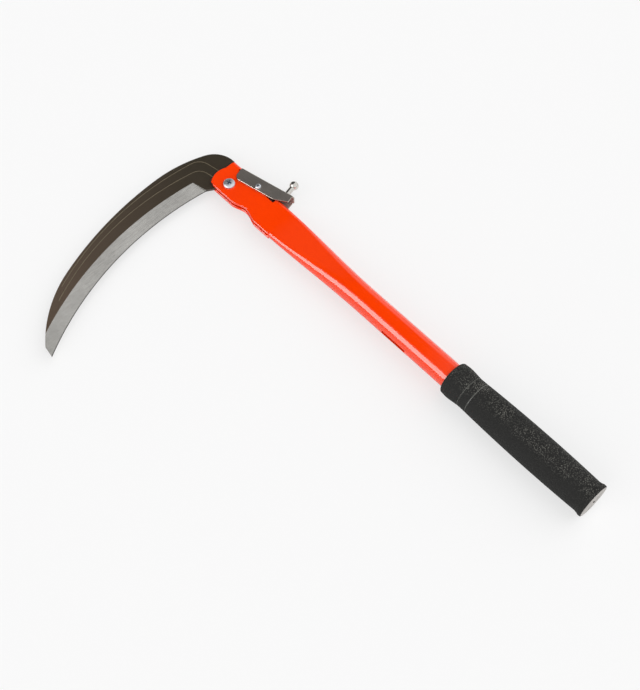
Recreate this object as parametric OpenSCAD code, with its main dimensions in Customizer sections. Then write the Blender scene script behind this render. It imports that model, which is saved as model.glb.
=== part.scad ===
// Folding sickle: a curved blade that swings on a screw into a flattened tube handle.
// A sprung lever on the back of the head drops a tooth into the blade's tang and holds it open or shut.
// The handle lies along X from the centre of its butt face, the blade side is +Y, and up is +Z.

/* [Handle tube] */
// Outside diameter of the steel tube
tube_od = 22; // [20:0.5:24]
// Wall of the tube and of its flattened head, like that of half-inch pipe
tube_wall = 2.7; // [2.5:0.1:2.8]
// From the butt face to the blade's pivot
pivot_reach = 394; // [380:1:430]
// From the tube's centre line to the pivot, towards the blade
pivot_drop = 4.4; // [3.8:0.1:4.8]

/* [Flattened head] */
// Thickness over both cheeks of the head
head_t = 8.4; // [8.2:0.1:8.8]
// Width of the head, a little less than the tube's girth would give, as the blade side is cut open
head_w = 30; // [29.6:0.1:30.6]
// From the tube's centre line to the head's middle, towards the back
head_shift = 0.45; // [0.3:0.05:0.6]
// From the pivot back to where the flat head ends
flat_len = 71; // [64:1:76]
// Length over which the flat head turns back into the round tube
taper_len = 91; // [80:1:105]
// How fast the head's width dies away along the taper
taper_ease = 1.7; // [1.2:0.1:2.4]
// Radius of the head's rounded front end
nose_r = 17.6; // [17:0.1:18.4]
// From the pivot forward to the straight shoulder of the front end
shoulder_front = 14.8; // [14.4:0.1:15]
// Width of the finger scallop in the blade side of the head
scallop_w = 30; // [20:1:34]
// Depth of the finger scallop
scallop_depth = 3.6; // [1.5:0.1:4.2]
// From the pivot back to the middle of the scallop
scallop_at = 27.5; // [26:0.5:30]

/* [Slit for the folded tip] */
// From the pivot back to where the slit starts
slit_at = 185.5; // [180:0.5:190]
// Length of the slit
slit_len = 25; // [24:0.5:32]
// Width of the slit
slit_w = 3.6; // [3.4:0.1:4.4]

/* [Blade] */
// Thickness of the blade and its tang
blade_t = 2.4; // [2.2:0.1:2.6]
// Radius of the round tang about the pivot
tang_r = 12; // [11.6:0.1:12.2]
// From the pivot to the flat on the tang that keeps it inside the head's blade side
tang_flat = 8.6; // [8:0.1:8.8]
// Radius of the back where it leaves the head
back_r1 = 22.8; // [22:0.1:23.5]
// Radius of the back beyond the root
back_r2 = 120; // [110:1:130]
// Radius of the back along the middle of the blade
back_r3 = 312; // [300:1:330]
// Radius of the back towards the tip
back_r4 = 117.6; // [112:0.2:122]
// Length of the cut across the tip
tip_cut = 9.9; // [7:0.1:12]
// Radius of the hollow cutting edge
edge_r = 285; // [275:1:300]
// Width of the ground bevel
bevel_w = 12.4; // [9:0.1:14]
// Thickness left at the cutting edge
edge_land = 0.3; // [0.2:0.05:0.5]
// Width of the two lines cut along the blade
line_w = 0.7; // [0.4:0.05:0.9]
// Depth of the two lines
line_depth = 0.25; // [0.1:0.05:0.4]
// Angle through which the blade folds
fold_angle = 84; // [83.5:0.1:84.5]

/* [Pivot] */
// Diameter of the pivot screw's shank
pivot_d = 5; // [4:0.1:5.4]
// Diameter of the pivot screw's head
pivot_head_d = 10; // [9:0.1:10.8]
// Height of the pivot screw's head
pivot_head_h = 2.8; // [2:0.1:3.4]
// Diameter of the two washers beside the tang
tang_washer_d = 16; // [14:0.1:17]
// Diameter of the washer under the nut
nut_washer_d = 11; // [10:0.1:13]
// Thickness of the washer under the nut
nut_washer_t = 1; // [0.8:0.1:1.6]
// Width across the flats of the pivot nut
pivot_nut_af = 8; // [7.6:0.1:9]
// Height of the pivot nut
pivot_nut_h = 4.8; // [4:0.1:5.4]

/* [Latch lever] */
// From the pivot back to the latch screw
latch_back = 19.7; // [19.4:0.1:20]
// From the pivot up to the latch screw, towards the back
latch_up = 14.8; // [14.6:0.1:15]
// Tilt of the lever from the line of the handle
latch_tilt = 12.3; // [12:0.1:12.6]
// Sheet that the lever is bent from
latch_sheet = 1.2; // [0.9:0.1:1.4]
// Gap between the lever's cheeks and the head
latch_gap = 0.3; // [0.2:0.05:0.5]
// From the latch screw forward to the front of the lever
latch_front = 22.4; // [22:0.1:22.6]
// From the latch screw back to the rear of the lever
latch_rear = 29; // [27:0.5:33]
// From the latch screw out to the lever's outer face
latch_out = 9; // [8.8:0.1:9.4]
// From the latch screw in to the cheeks' lower edge
latch_in = 3.2; // [3.1:0.1:3.6]
// Radius of the cheeks' front lower corner
latch_corner = 5; // [3:0.1:6]
// Width of the locking tooth
tooth_w = 2.4; // [2:0.1:2.6]
// Gap from the lifted tooth to the rim of the tang
tooth_lift = 0.3; // [0.2:0.05:0.5]
// Angle through which the spring drops the tooth into the tang
lock_angle = 4; // [3:0.1:4.4]
// Diameter of the latch screw's shank
latch_pin_d = 3; // [2.5:0.1:3.4]
// Diameter of the latch screw's head
latch_head_d = 5; // [4.6:0.1:5.6]
// Height of the latch screw's head
latch_head_h = 2.1; // [1.6:0.1:2.4]
// Width across the flats of the latch nut
latch_nut_af = 5.5; // [5.2:0.1:6]
// Height of the latch nut
latch_nut_h = 4; // [3.4:0.1:4.4]

/* [Spring] */
// Outside diameter of the spring
spring_od = 6.8; // [6.4:0.1:7]
// Diameter of the spring's wire
wire_d = 0.9; // [0.7:0.05:1.1]
// Number of turns
spring_turns = 6; // [5:0.5:7]
// From the pivot back to the middle of the spring
spring_at = 34.4; // [34:0.1:34.8]
// From the pivot up to the spring's seat
seat_up = 13.5; // [13.2:0.1:13.8]
// Room at each side of the spring in its pocket
pocket_room = 1.2; // [0.8:0.1:1.4]

/* [Knob] */
// Diameter of the knob's ball
knob_d = 8; // [7:0.1:8.5]
// Diameter of the knob's shank
knob_shank_d = 4.8; // [4.2:0.1:5.2]
// Length of the shank from the lever to the middle of the ball
knob_len = 11.8; // [9:0.1:14]
// From the latch screw back to the knob
knob_at = 21.8; // [21.4:0.1:23]

/* [Grip] */
// Length of the rubber sleeve
grip_len = 143; // [130:1:150]
// Diameter of the sleeve at its fullest
grip_d = 30; // [29:0.1:32]
// Diameter of the collar at its front
collar_d = 29.4; // [28.8:0.1:31]
// Diameter of the lip at its butt
lip_d = 30; // [29.4:0.1:31.5]
// Thickness of the closed butt
butt_t = 4; // [3:0.1:6]
// Width of the two grooves near the front
groove_w = 0.6; // [0.4:0.1:1]
// Depth of the two grooves
groove_depth = 0.45; // [0.3:0.05:0.7]

/* [Hidden] */

$fn = 64;
eps = 0.01;
big = 400;
// A shaft's radial running clearance, and the gap kept between curved faces that pass each other
run_gap = 0.05;
pass_gap = 0.3;

tube_r = tube_od / 2;
gap_t = head_t - 2 * tube_wall;
head_r = head_t / 2;
fold_in_r = gap_t / 2;
head_half = head_w / 2;
back_y = pivot_drop + head_shift + head_half;
fold_y = back_y - head_r;
side_y = pivot_drop + head_shift - head_half;

RED = [0.93, 0.14, 0.02];
ZINC = [0.78, 0.79, 0.8];
STEEL = [0.42, 0.4, 0.37];
LACQUER = [0.2, 0.18, 0.14];
RUBBER = [0.16, 0.16, 0.15];
NYLON = [0.2, 0.35, 0.6];

// Moves what is drawn about the pivot, with +X back along the handle and +Y to the latch, into place
module at_pivot() {
    translate([pivot_reach, pivot_drop, 0])
        rotate([0, 0, 180])
            children();
}

// Moves what is drawn about the latch screw, with +X back along the lever and +Y outwards, into place
module at_latch() {
    at_pivot()
        translate([latch_back, latch_up, 0])
            rotate([0, 0, latch_tilt])
                children();
}

function on_arc(c, r, a) = [c[0] + r * cos(a), c[1] + r * sin(a)];
function arc(c, r, a0, a1, n) = [for (i = [0:n]) on_arc(c, r, a0 + (a1 - a0) * i / n)];
function turned(p, a) = [p[0] * cos(a) - p[1] * sin(a), p[0] * sin(a) + p[1] * cos(a)];

// A point of the lever, given from the latch screw, as seen from the pivot with the lever turned by a
function lever_point(p, a) = [latch_back, latch_up] + turned(p, latch_tilt + a);

// Handle tube

ring_half = 20;
ring_n = 2 * (ring_half + 1);
stations = 18;
// What is left of the flat at the round end, so that no two points of a ring meet
round_flat = 0.04;

function taper_half(u) = tube_r + round_flat
    + (head_half - tube_r - round_flat) * pow(1 - u, taper_ease);
function taper_round(m) = head_r + (head_half - m) * (tube_r - head_r) / (head_half - tube_r);

// The taper reaches a little into the head and the round tube, and its skin lies just inside theirs
taper_lap = 0.2;
taper_in = 0.05;
taper_bore_in = tube_wall - 0.12;

// One ring of the taper: half width m, wall inset w, at distance x behind the pivot
function taper_ring(x, m, w) =
    let (r = taper_round(m), s = m - r,
        mid = pivot_drop + head_shift * (m - tube_r - round_flat) / (head_half - tube_r - round_flat))
    concat(
        [for (i = [0:ring_half])
            let (a = -90 + 180 * i / ring_half)
            [x, mid + s + (r - w) * cos(a), (r - w) * sin(a)]],
        [for (i = [0:ring_half])
            let (a = 90 + 180 * i / ring_half)
            [x, mid - s + (r - w) * cos(a), (r - w) * sin(a)]]);

module taper() {
    lap = [for (k = [0:stations]) k == 0 ? -taper_lap : k == stations ? taper_lap : 0];
    rings = [for (w = [taper_in, taper_bore_in], k = [0:stations])
        taper_ring(flat_len + taper_len * k / stations + lap[k], taper_half(k / stations), w)];
    points = [for (ring = rings, p = ring) p];
    inner = (stations + 1) * ring_n;
    skin = [for (k = [0:stations - 1], i = [0:ring_n - 1])
        let (a = k * ring_n + i, b = k * ring_n + (i + 1) % ring_n)
        [a, a + ring_n, b + ring_n, b]];
    bore = [for (f = skin) [f[3] + inner, f[2] + inner, f[1] + inner, f[0] + inner]];
    ends = [for (i = [0:ring_n - 1])
        let (j = (i + 1) % ring_n, last = stations * ring_n)
        for (f = [[i, j, j + inner, i + inner],
            [last + j, last + i, last + i + inner, last + j + inner]]) f];
    polyhedron(points, concat(skin, bore, ends));
}

module round_part() {
    start = flat_len + taper_len;
    translate([start, pivot_drop, 0])
        rotate([0, 90, 0])
            difference() {
                cylinder(d = tube_od, h = pivot_reach - butt_t - start);
                translate([0, 0, -1])
                    cylinder(d = tube_od - 2 * tube_wall, h = big);
            }
}

// Two flat cheeks joined by the fold along the back, open on the blade side
module head_section() {
    difference() {
        union() {
            translate([side_y, -head_r])
                square([fold_y - side_y, head_t]);
            translate([fold_y, 0])
                circle(r = head_r);
        }
        translate([side_y - 1, -fold_in_r])
            square([fold_y - side_y + 1, gap_t]);
        translate([fold_y, 0])
            circle(r = fold_in_r);
    }
}

nose_c = [1, 2];
// The nose meets the shoulder above and the lower front corner's round below
nose_top = acos((shoulder_front + nose_c[0]) / nose_r);
nose_low = asin((nose_c[1] - side_y - 1.2) / nose_r);

// The head seen from above: round nose, straight shoulder, finger scallop
module head_outline() {
    scallop = [for (i = [0:24])
        let (f = i / 24)
        [scallop_at + (f - 0.5) * scallop_w, side_y + scallop_depth * (1 - cos(360 * f)) / 2]];
    polygon(concat(
        [[flat_len, back_y + 1], [-shoulder_front, back_y + 1]],
        arc(nose_c, nose_r, 180 - nose_top, 180 + nose_low, 20),
        arc([-8.4, side_y + 2.6], 2.6, 222, 270, 5),
        scallop,
        [[flat_len, side_y]]));
}

// The opening in the back for the lever's front end, cut along the line of the lever when it locks
module tooth_window() {
    front_gap = 1.2;
    // Deep enough that the tooth clears the narrowing inside of the fold
    under_web = 0.8;
    translate([latch_back, latch_up])
        rotate([0, 0, latch_tilt + lock_angle])
            translate([-latch_front - front_gap, web_in - under_web])
                square([latch_front + front_gap, latch_out]);
}

module spring_pocket() {
    half = spring_od / 2 + pocket_room;
    translate([spring_at - half, seat_up])
        square([2 * half, back_y - seat_up + 1]);
}

module through(d) {
    translate([0, 0, -big / 2])
        cylinder(d = d, h = big);
}

module handle_tube() {
    color(RED)
        at_pivot() {
            difference() {
                union() {
                    round_part();
                    taper();
                    intersection() {
                        rotate([90, 0, 90])
                            translate([0, 0, -2 * nose_r])
                                linear_extrude(2 * nose_r + flat_len)
                                    head_section();
                        translate([0, 0, -head_t])
                            linear_extrude(2 * head_t)
                                head_outline();
                    }
                }
                through(pivot_d + 2 * run_gap);
                translate([latch_back, latch_up, 0])
                    through(latch_pin_d + 2 * run_gap);
                translate([0, 0, -head_t])
                    linear_extrude(2 * head_t) {
                        tooth_window();
                        spring_pocket();
                    }
                translate([slit_at, pivot_drop - tube_od, -slit_w / 2])
                    cube([slit_len, tube_od, slit_w]);
            }
        }
}

// Blade

// The back of the blade is four arcs, each taking over where the last one ends
back_start = [-17, 19.9];
back_turns = [67, 22.3, 20.9, 33.8];
a1 = 90 + back_turns[0];
a2 = a1 + back_turns[1];
a3 = a2 + back_turns[2];
a4 = a3 + back_turns[3];
c1 = back_start - [0, back_r1];
c2 = on_arc(on_arc(c1, back_r1, a1), -back_r2, a1);
c3 = on_arc(on_arc(c2, back_r2, a2), -back_r3, a2);
c4 = on_arc(on_arc(c3, back_r3, a3), -back_r4, a3);
tip_corner = on_arc(c4, back_r4, a4);
tip = on_arc(tip_corner, tip_cut, a4 + 117.6);

// The cutting edge is one arc from the heel to the tip
heel = [-10.8, -17];
edge_mid = (heel + tip) / 2;
edge_half = norm(tip - heel) / 2;
edge_dir = (tip - heel) / (2 * edge_half);
edge_c = edge_mid + sqrt(edge_r * edge_r - edge_half * edge_half) * [-edge_dir[1], edge_dir[0]];
heel_a = 180 + atan((edge_c[1] - heel[1]) / (edge_c[0] - heel[0]));
tip_a = 180 + atan((edge_c[1] - tip[1]) / (edge_c[0] - tip[0]));

// Where the tang's stop lies under the closed front of the fold
stop_y = fold_y + sqrt(fold_in_r * fold_in_r - blade_t * blade_t / 4) - 0.35;
stop_front = shoulder_front + 0.5;

module blade_outline() {
    polygon(concat(
        [[-stop_front, stop_y], [-stop_front, back_start[1]]],
        arc(c1, back_r1, 90, a1, 14),
        arc(c2, back_r2, a1, a2, 10),
        arc(c3, back_r3, a2, a3, 14),
        arc(c4, back_r4, a3, a4, 18),
        arc(edge_c, edge_r, tip_a, heel_a, 40),
        [[-7.4, -11.4], [-6.6, -tang_flat]],
        arc([0, 0], tang_r, -asin(tang_flat / tang_r), 112, 40),
        [[-6.5, stop_y]]));
}

// The tooth ends just clear of the tang's rim while the lever stands as drawn
web_in = latch_out - latch_sheet;
rim_gap_r = tang_r + tooth_lift;
tooth_mid = lever_point([-latch_front + latch_sheet / 2, 0], 0);
tooth_end = tooth_reach(tooth_mid, turned([0, 1], latch_tilt));

// How far along the unit direction d from the point p the circle of radius rim_gap_r is met
function tooth_reach(p, d) = -p * d + sqrt(pow(p * d, 2) - p * p + rim_gap_r * rim_gap_r);

// The tooth's place in the rim of the tang, as the lever finds it when the blade stands at angle a
locked_foot = lever_point([-latch_front + latch_sheet / 2, tooth_end], lock_angle);
locked_r = norm(locked_foot);
locked_a = atan2(locked_foot[1], locked_foot[0]);

module tooth_notch(a) {
    root = latch_sheet / 2 + pass_gap;
    rotate([0, 0, locked_a - a])
        polygon([[locked_r - pass_gap, -root], [tang_r + 2, -root - 0.9],
            [tang_r + 2, root + 0.9], [locked_r - pass_gap, root]]);
}

// One side, at w from the middle, of a line cut beside the back
function line_side(c, r, from_a, to_a, bend_r, bend_a, w) =
    let (bend_c = on_arc(on_arc(c, r, from_a), -bend_r, from_a), in_a = from_a - bend_a)
    concat(
        [on_arc(bend_c, bend_r + w, in_a) + 16 * [sin(in_a), -cos(in_a)]],
        arc(bend_c, bend_r + w, in_a, from_a, 12),
        [for (i = [1:40]) on_arc(c, r + w, from_a + (to_a - from_a) * i / 40)]);

// The line follows one arc along the blade and bends in to the head
module blade_line(c, r, from_a, to_a, bend_r, bend_a) {
    outer = line_side(c, r, from_a, to_a, bend_r, bend_a, line_w / 2);
    inner = line_side(c, r, from_a, to_a, bend_r, bend_a, -line_w / 2);
    polygon(concat(outer, [for (i = [len(inner) - 1:-1:0]) inner[i]]));
}

module blade_lines() {
    blade_line([218.5, -55], 262.2, 169.6, 204.1, 12, 69.6);
    blade_line([205.8, -64.6], 243, 167.8, 206.3, 11, 68.3);
}

// The grinding: a shallow cone about the edge's own centre, run out at the heel
module bevel_cut() {
    rise = blade_t - edge_land;
    half = blade_t / 2;
    slope = bevel_w / rise;
    foot_r = edge_r + 0.05;
    intersection() {
        translate([edge_c[0], edge_c[1], -half + edge_land])
            cylinder(r1 = foot_r, r2 = foot_r + slope * (rise + 1), h = rise + 1, $fn = 256);
        translate([heel[0] - 14, heel[1] - 3, half])
            rotate([0, 0, 13.4])
                rotate([35, 0, 0])
                    translate([-big / 2, -big, -big / 2])
                        cube([big, big, big]);
    }
}

module blade() {
    color(LACQUER)
        at_pivot()
            difference() {
                translate([0, 0, -blade_t / 2])
                    linear_extrude(blade_t)
                        blade_outline();
                through(pivot_d + 2 * run_gap);
                translate([0, 0, -blade_t])
                    linear_extrude(2 * blade_t) {
                        tooth_notch(0);
                        tooth_notch(fold_angle);
                    }
                bevel_cut();
                translate([0, 0, blade_t / 2 - line_depth])
                    linear_extrude(blade_t)
                        blade_lines();
            }
}

// Screws, nuts and washers

// A pan head with a cross recess, standing on z = 0
module pan_head(d, h) {
    dome = h * 0.45;
    flat = d / 2 - dome * 1.6;
    arm = d * 0.26;
    slot = d * 0.12;
    difference() {
        rotate_extrude()
            polygon(concat([[0, 0], [d / 2, 0], [d / 2, h - dome]],
                [for (i = [1:6]) [flat + (d / 2 - flat) * cos(15 * i), h - dome + dome * sin(15 * i)]],
                [[0, h]]));
        for (a = [20, 110])
            rotate([0, 0, a])
                translate([-arm, -slot / 2, h * 0.35])
                    cube([2 * arm, slot, h]);
    }
}

// A screw down through the part: head on top at z = top, shank to z = foot
module screw(d, head_d, head_h, top, foot) {
    translate([0, 0, top])
        pan_head(head_d, head_h);
    translate([0, 0, foot])
        cylinder(d = d, h = top - foot + eps);
}

module washer(d, bore, h) {
    difference() {
        cylinder(d = d, h = h);
        translate([0, 0, -1])
            cylinder(d = bore, h = h + 2);
    }
}

insert_share = 0.3;

// The steel body of a lock nut, hanging below z = 0, with a collar that holds the insert
module nut_body(af, h, bore) {
    hex_h = h * (1 - insert_share);
    collar = af * 0.46;
    translate([0, 0, -hex_h])
        difference() {
            intersection() {
                cylinder(d = af / cos(30), h = hex_h, $fn = 6);
                translate([0, 0, -af * 0.03])
                    cylinder(r1 = af * 0.5, r2 = af * 0.5 + hex_h + af * 0.03, h = hex_h + af * 0.03);
            }
            translate([0, 0, -1])
                cylinder(d = bore, h = h + 2);
        }
    translate([0, 0, -h])
        difference() {
            cylinder(r = collar, h = h - hex_h);
            translate([0, 0, -1])
                cylinder(r = collar - af * 0.07, h = h);
        }
}

module nut_insert(af, h, bore) {
    hex_h = h * (1 - insert_share);
    translate([0, 0, -h + 0.2])
        washer(2 * (af * 0.46 - af * 0.07), bore, h - hex_h - 0.2);
}

pivot_bore = pivot_d + 2 * run_gap;
washer_t = (gap_t - blade_t) / 2 - 2 * run_gap;
nut_top = -head_r - nut_washer_t;
pivot_foot = nut_top - pivot_nut_h - 1;

module pivot_screw() {
    color(ZINC)
        at_pivot()
            screw(pivot_d, pivot_head_d, pivot_head_h, head_r, pivot_foot);
}

module tang_washer_upper() {
    color(ZINC)
        at_pivot()
            translate([0, 0, blade_t / 2 + run_gap])
                washer(tang_washer_d, pivot_bore, washer_t);
}

module tang_washer_lower() {
    color(ZINC)
        at_pivot()
            translate([0, 0, -blade_t / 2 - run_gap - washer_t])
                washer(tang_washer_d, pivot_bore, washer_t);
}

module nut_washer() {
    color(ZINC)
        at_pivot()
            translate([0, 0, nut_top])
                washer(nut_washer_d, pivot_bore, nut_washer_t);
}

module pivot_nut() {
    color(ZINC)
        at_pivot()
            translate([0, 0, nut_top])
                nut_body(pivot_nut_af, pivot_nut_h, pivot_bore);
}

module pivot_nut_insert() {
    color(NYLON)
        at_pivot()
            translate([0, 0, nut_top])
                nut_insert(pivot_nut_af, pivot_nut_h, pivot_bore);
}

cheek_in = head_r + latch_gap;
cheek_out = cheek_in + latch_sheet;
latch_bore = latch_pin_d + 2 * run_gap;
latch_nut_top = -cheek_out - run_gap;

module latch_screw() {
    color(ZINC)
        at_latch()
            screw(latch_pin_d, latch_head_d, latch_head_h, cheek_out + run_gap,
                latch_nut_top - latch_nut_h - 0.6);
}

module latch_nut() {
    color(ZINC)
        at_latch()
            translate([0, 0, latch_nut_top])
                nut_body(latch_nut_af, latch_nut_h, latch_bore);
}

module latch_nut_insert() {
    color(NYLON)
        at_latch()
            translate([0, 0, latch_nut_top])
                nut_insert(latch_nut_af, latch_nut_h, latch_bore);
}

// Latch lever

bend_r = 1.8;
// The knob's tail and its riveted end under the web
knob_tail_d = knob_shank_d - 1.2;
rivet_r = knob_tail_d / 2 + 0.5;
rivet_h = 0.8;

// The lever seen from the side: the cheeks' lower edge sweeps up to the rear
module cheek_outline() {
    sweep_from = 15.5;
    sweep_r = 10;
    sweep_turn = 22;
    sweep_c = [sweep_from, sweep_r - latch_in];
    sweep_end = on_arc(sweep_c, sweep_r, 270 + sweep_turn);
    polygon(concat(
        [[latch_rear, latch_out], [-latch_front, latch_out]],
        arc([-latch_front + latch_corner, -latch_in + latch_corner], latch_corner, 180, 270, 8),
        arc(sweep_c, sweep_r, 270, 270 + sweep_turn, 5),
        [[latch_rear, sweep_end[1] + (latch_rear - sweep_end[0]) * tan(sweep_turn)]]));
}

// The bent sheet seen from its end: two cheeks and the web that joins them
module channel_section() {
    difference() {
        union() {
            translate([-latch_in - 1, -cheek_out])
                square([latch_out - bend_r + latch_in + 1, 2 * cheek_out]);
            translate([-latch_in - 1, -cheek_out + bend_r])
                square([latch_out + latch_in + 1, 2 * (cheek_out - bend_r)]);
            for (s = [-1, 1])
                translate([latch_out - bend_r, s * (cheek_out - bend_r)])
                    circle(r = bend_r);
        }
        translate([-latch_in - 2, -cheek_in])
            square([web_in + latch_in + 2, 2 * cheek_in]);
    }
}

module latch_lever() {
    lip = 1.4;
    color(STEEL)
        at_latch()
            difference() {
                union() {
                    intersection() {
                        rotate([90, 0, 90])
                            translate([0, 0, -latch_front - 1])
                                linear_extrude(latch_front + latch_rear + 2)
                                    channel_section();
                        translate([0, 0, -2 * cheek_out])
                            linear_extrude(4 * cheek_out)
                                cheek_outline();
                    }
                    translate([latch_rear - eps, web_in, -cheek_out + bend_r])
                        cube([lip, latch_sheet, 2 * (cheek_out - bend_r)]);
                    translate([-latch_front, tooth_end, -tooth_w / 2])
                        cube([latch_sheet, web_in - tooth_end + eps, tooth_w]);
                }
                through(latch_bore);
                translate([knob_at, 0, 0])
                    rotate([-90, 0, 0])
                        cylinder(d = knob_tail_d, h = big);
            }
}

// Knob and spring

module thumb_knob() {
    color(ZINC)
        at_latch()
            translate([knob_at, latch_out, 0])
                rotate([-90, 0, 0])
                    rotate_extrude()
                        polygon(concat(
                            [[0, -latch_sheet - rivet_h], [rivet_r - 0.2, -latch_sheet - rivet_h],
                                [rivet_r, -latch_sheet - rivet_h / 2],
                                [rivet_r, -latch_sheet], [knob_tail_d / 2, -latch_sheet],
                                [knob_tail_d / 2, 0], [knob_shank_d / 2 + 0.5, 0],
                                [knob_shank_d / 2 + 0.5, 0.8], [knob_shank_d / 2, 1.3]],
                            [for (i = [0:16])
                                let (a = -90 + asin(knob_shank_d / knob_d)
                                    + (180 - asin(knob_shank_d / knob_d)) * i / 16)
                                [max(0, knob_d / 2 * cos(a)), knob_len + knob_d * 0.47 * sin(a)]]));
}

// The spring stands on its seat at one end and lies flat under the tilted lever at the other
module latch_spring() {
    sides = 8;
    per_turn = 16;
    steps = spring_turns * per_turn;
    coil_r = (spring_od - wire_d) / 2;
    foot = [spring_at, seat_up + wire_d / 2 + run_gap];
    // Under the web, just clear of the knob's riveted end
    beside_rivet = knob_at - rivet_r - pass_gap - spring_od / 2;
    head = lever_point([beside_rivet, web_in - wire_d / 2 - run_gap], 0);
    // The first and the last turn lie close to their neighbours, and the others share the rest
    close = (wire_d + 0.1) / norm(head - foot);
    middle = (1 - 2 * close) / (steps - 2 * per_turn);
    points = [for (i = [0:steps])
        let (first = min(i, per_turn),
            last = max(0, i - steps + per_turn),
            g = close * (first + last) / per_turn + middle * (i - first - last),
            tilt = latch_tilt * g,
            mid = foot + (head - foot) * g,
            t = 360 * i / per_turn,
            out = concat(turned([cos(t), 0], tilt), [sin(t)]),
            up = concat(turned([0, 1], tilt), [0]))
        for (k = [0:sides - 1])
            concat(mid, [0]) + coil_r * out
                + wire_d / 2 * (cos(360 * k / sides) * out + sin(360 * k / sides) * up)];
    skin = [for (i = [0:steps - 1], k = [0:sides - 1])
        let (a = i * sides + k, b = i * sides + (k + 1) % sides)
        [a, a + sides, b + sides, b]];
    ends = [[for (k = [0:sides - 1]) k], [for (k = [sides - 1:-1:0]) steps * sides + k]];
    color(ZINC)
        at_pivot()
            polyhedron(points, concat(skin, ends));
}

// Grip

grip_r = grip_d / 2;
// Where the grip is fullest, and how fast it falls away to both ends
full_at = 58;
barrel = 0.00033;
neck_at = grip_len - 21;
grooves = [grip_len - 18.5, grip_len - 26.4];

function barrel_r(x) = grip_r - barrel * pow(x - full_at, 2);

module grip_profile() {
    bore_r = tube_r + run_gap;
    collar_r = collar_d / 2;
    lip_r = lip_d / 2;
    round_r = collar_r - bore_r - 0.4;
    polygon(concat(
        [[0, 0], [lip_r - 1, 0]],
        arc([lip_r - 1, 1], 1, -90, 0, 4),
        [[lip_r, 2.6], [lip_r - 0.4, 3.6], [barrel_r(6.5) + 0.1, 5.4]],
        [for (i = [0:22]) let (x = 6.5 + (neck_at - 6.5) * i / 22) [barrel_r(x), x]],
        [for (i = [1:8])
            let (x = neck_at + (grip_len - round_r - 3.4 - neck_at) * i / 8)
            [barrel_r(neck_at) + (collar_r - barrel_r(neck_at)) * (1 - cos(22.5 * i)) / 2, x]],
        arc([collar_r - round_r, grip_len - round_r], round_r, 30, 90, 6),
        [[bore_r, grip_len], [bore_r, butt_t], [0, butt_t]]));
}

module grip_sleeve() {
    color(RUBBER)
        rotate([0, 90, 0])
            difference() {
                rotate_extrude($fn = 96)
                    grip_profile();
                for (x = grooves)
                    translate([0, 0, x])
                        difference() {
                            cylinder(r = grip_d, h = groove_w);
                            translate([0, 0, -1])
                                cylinder(r = barrel_r(min(x, neck_at)) - groove_depth, h = groove_w + 2);
                        }
            }
}

handle_tube();
blade();
pivot_screw();
tang_washer_upper();
tang_washer_lower();
nut_washer();
pivot_nut();
pivot_nut_insert();
latch_lever();
latch_screw();
latch_nut();
latch_nut_insert();
latch_spring();
thumb_knob();
grip_sleeve();
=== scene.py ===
"""A folding sickle: its visible pieces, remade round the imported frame, in a plain studio.

Lengths in the pieces' classes are millimetres, in the frame that each piece's Place names. A piece's mesh
is moved into the shared frame, in metres, when it is finished. The finishes and the studio are in metres.
"""
import logging
import math
from dataclasses import dataclass
from enum import Enum
from typing import Callable, Iterable, Optional, Sequence

import bmesh
import bpy
from mathutils import Matrix, Vector


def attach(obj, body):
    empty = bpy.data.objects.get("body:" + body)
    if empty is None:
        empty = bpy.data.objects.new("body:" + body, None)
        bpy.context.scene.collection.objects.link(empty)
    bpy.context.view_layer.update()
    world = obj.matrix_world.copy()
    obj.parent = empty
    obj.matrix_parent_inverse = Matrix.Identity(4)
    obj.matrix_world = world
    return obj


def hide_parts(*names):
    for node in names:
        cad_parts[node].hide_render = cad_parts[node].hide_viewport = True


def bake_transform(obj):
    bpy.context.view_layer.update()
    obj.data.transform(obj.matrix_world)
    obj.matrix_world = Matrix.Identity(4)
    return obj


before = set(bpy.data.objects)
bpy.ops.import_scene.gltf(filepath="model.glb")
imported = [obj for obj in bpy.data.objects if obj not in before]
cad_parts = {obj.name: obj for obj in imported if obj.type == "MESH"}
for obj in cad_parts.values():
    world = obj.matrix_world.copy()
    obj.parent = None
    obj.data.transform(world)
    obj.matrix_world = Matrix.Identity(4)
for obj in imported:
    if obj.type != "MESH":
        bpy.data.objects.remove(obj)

log = logging.getLogger("sickle")

MM = 0.001
PIVOT = Vector((394.0, 4.4, 0.0))
LATCH_PIN = Vector((19.7, 14.8, 0.0))
LATCH_TILT = 12.3
LOCK_ANGLE = 4.0
FOLD_ANGLE = 84.0
PIVOT_BORE_R = 2.55
LATCH_BORE_R = 1.55
TOGETHER = 1e-4

Mesh = bmesh.types.BMesh
Socket = bpy.types.NodeSocket
Pair = tuple[float, float]
Triple = tuple[float, float, float]
Colour = Triple


def turn(degrees: float, axis: str = "Z") -> Matrix:
    """Return a turn about one of the main axes."""
    return Matrix.Rotation(math.radians(degrees), 4, axis)


def polar(centre: Sequence[float], radius: float, degrees: float) -> Pair:
    """Return the point of a circle at an angle."""
    angle = math.radians(degrees)
    return centre[0] + radius * math.cos(angle), centre[1] + radius * math.sin(angle)


class Body(Enum):
    """The bodies that the pieces ride on."""

    HANDLE = "handle"
    BLADE = "blade"
    LATCH = "latch"


class Place(Enum):
    """The frames that the pieces are drawn in, and their way into the shared frame in metres."""

    HANDLE = "from the centre of the butt face, along the handle"
    PIVOT = "from the pivot, with X back along the handle and Y to the latch"
    LATCH = "from the latch screw, with X back along the lever and Y outwards"

    @property
    def matrix(self) -> Matrix:
        """Find the way into the shared frame.

        Returns:
            The move, from millimetres to metres.
        """
        place = Matrix.Scale(MM, 4)
        if self is not Place.HANDLE:
            place = place @ Matrix.Translation(PIVOT) @ turn(180)
        if self is Place.LATCH:
            place = place @ Matrix.Translation(LATCH_PIN) @ turn(LATCH_TILT)
        return place


# Nodes of the finishes


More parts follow.
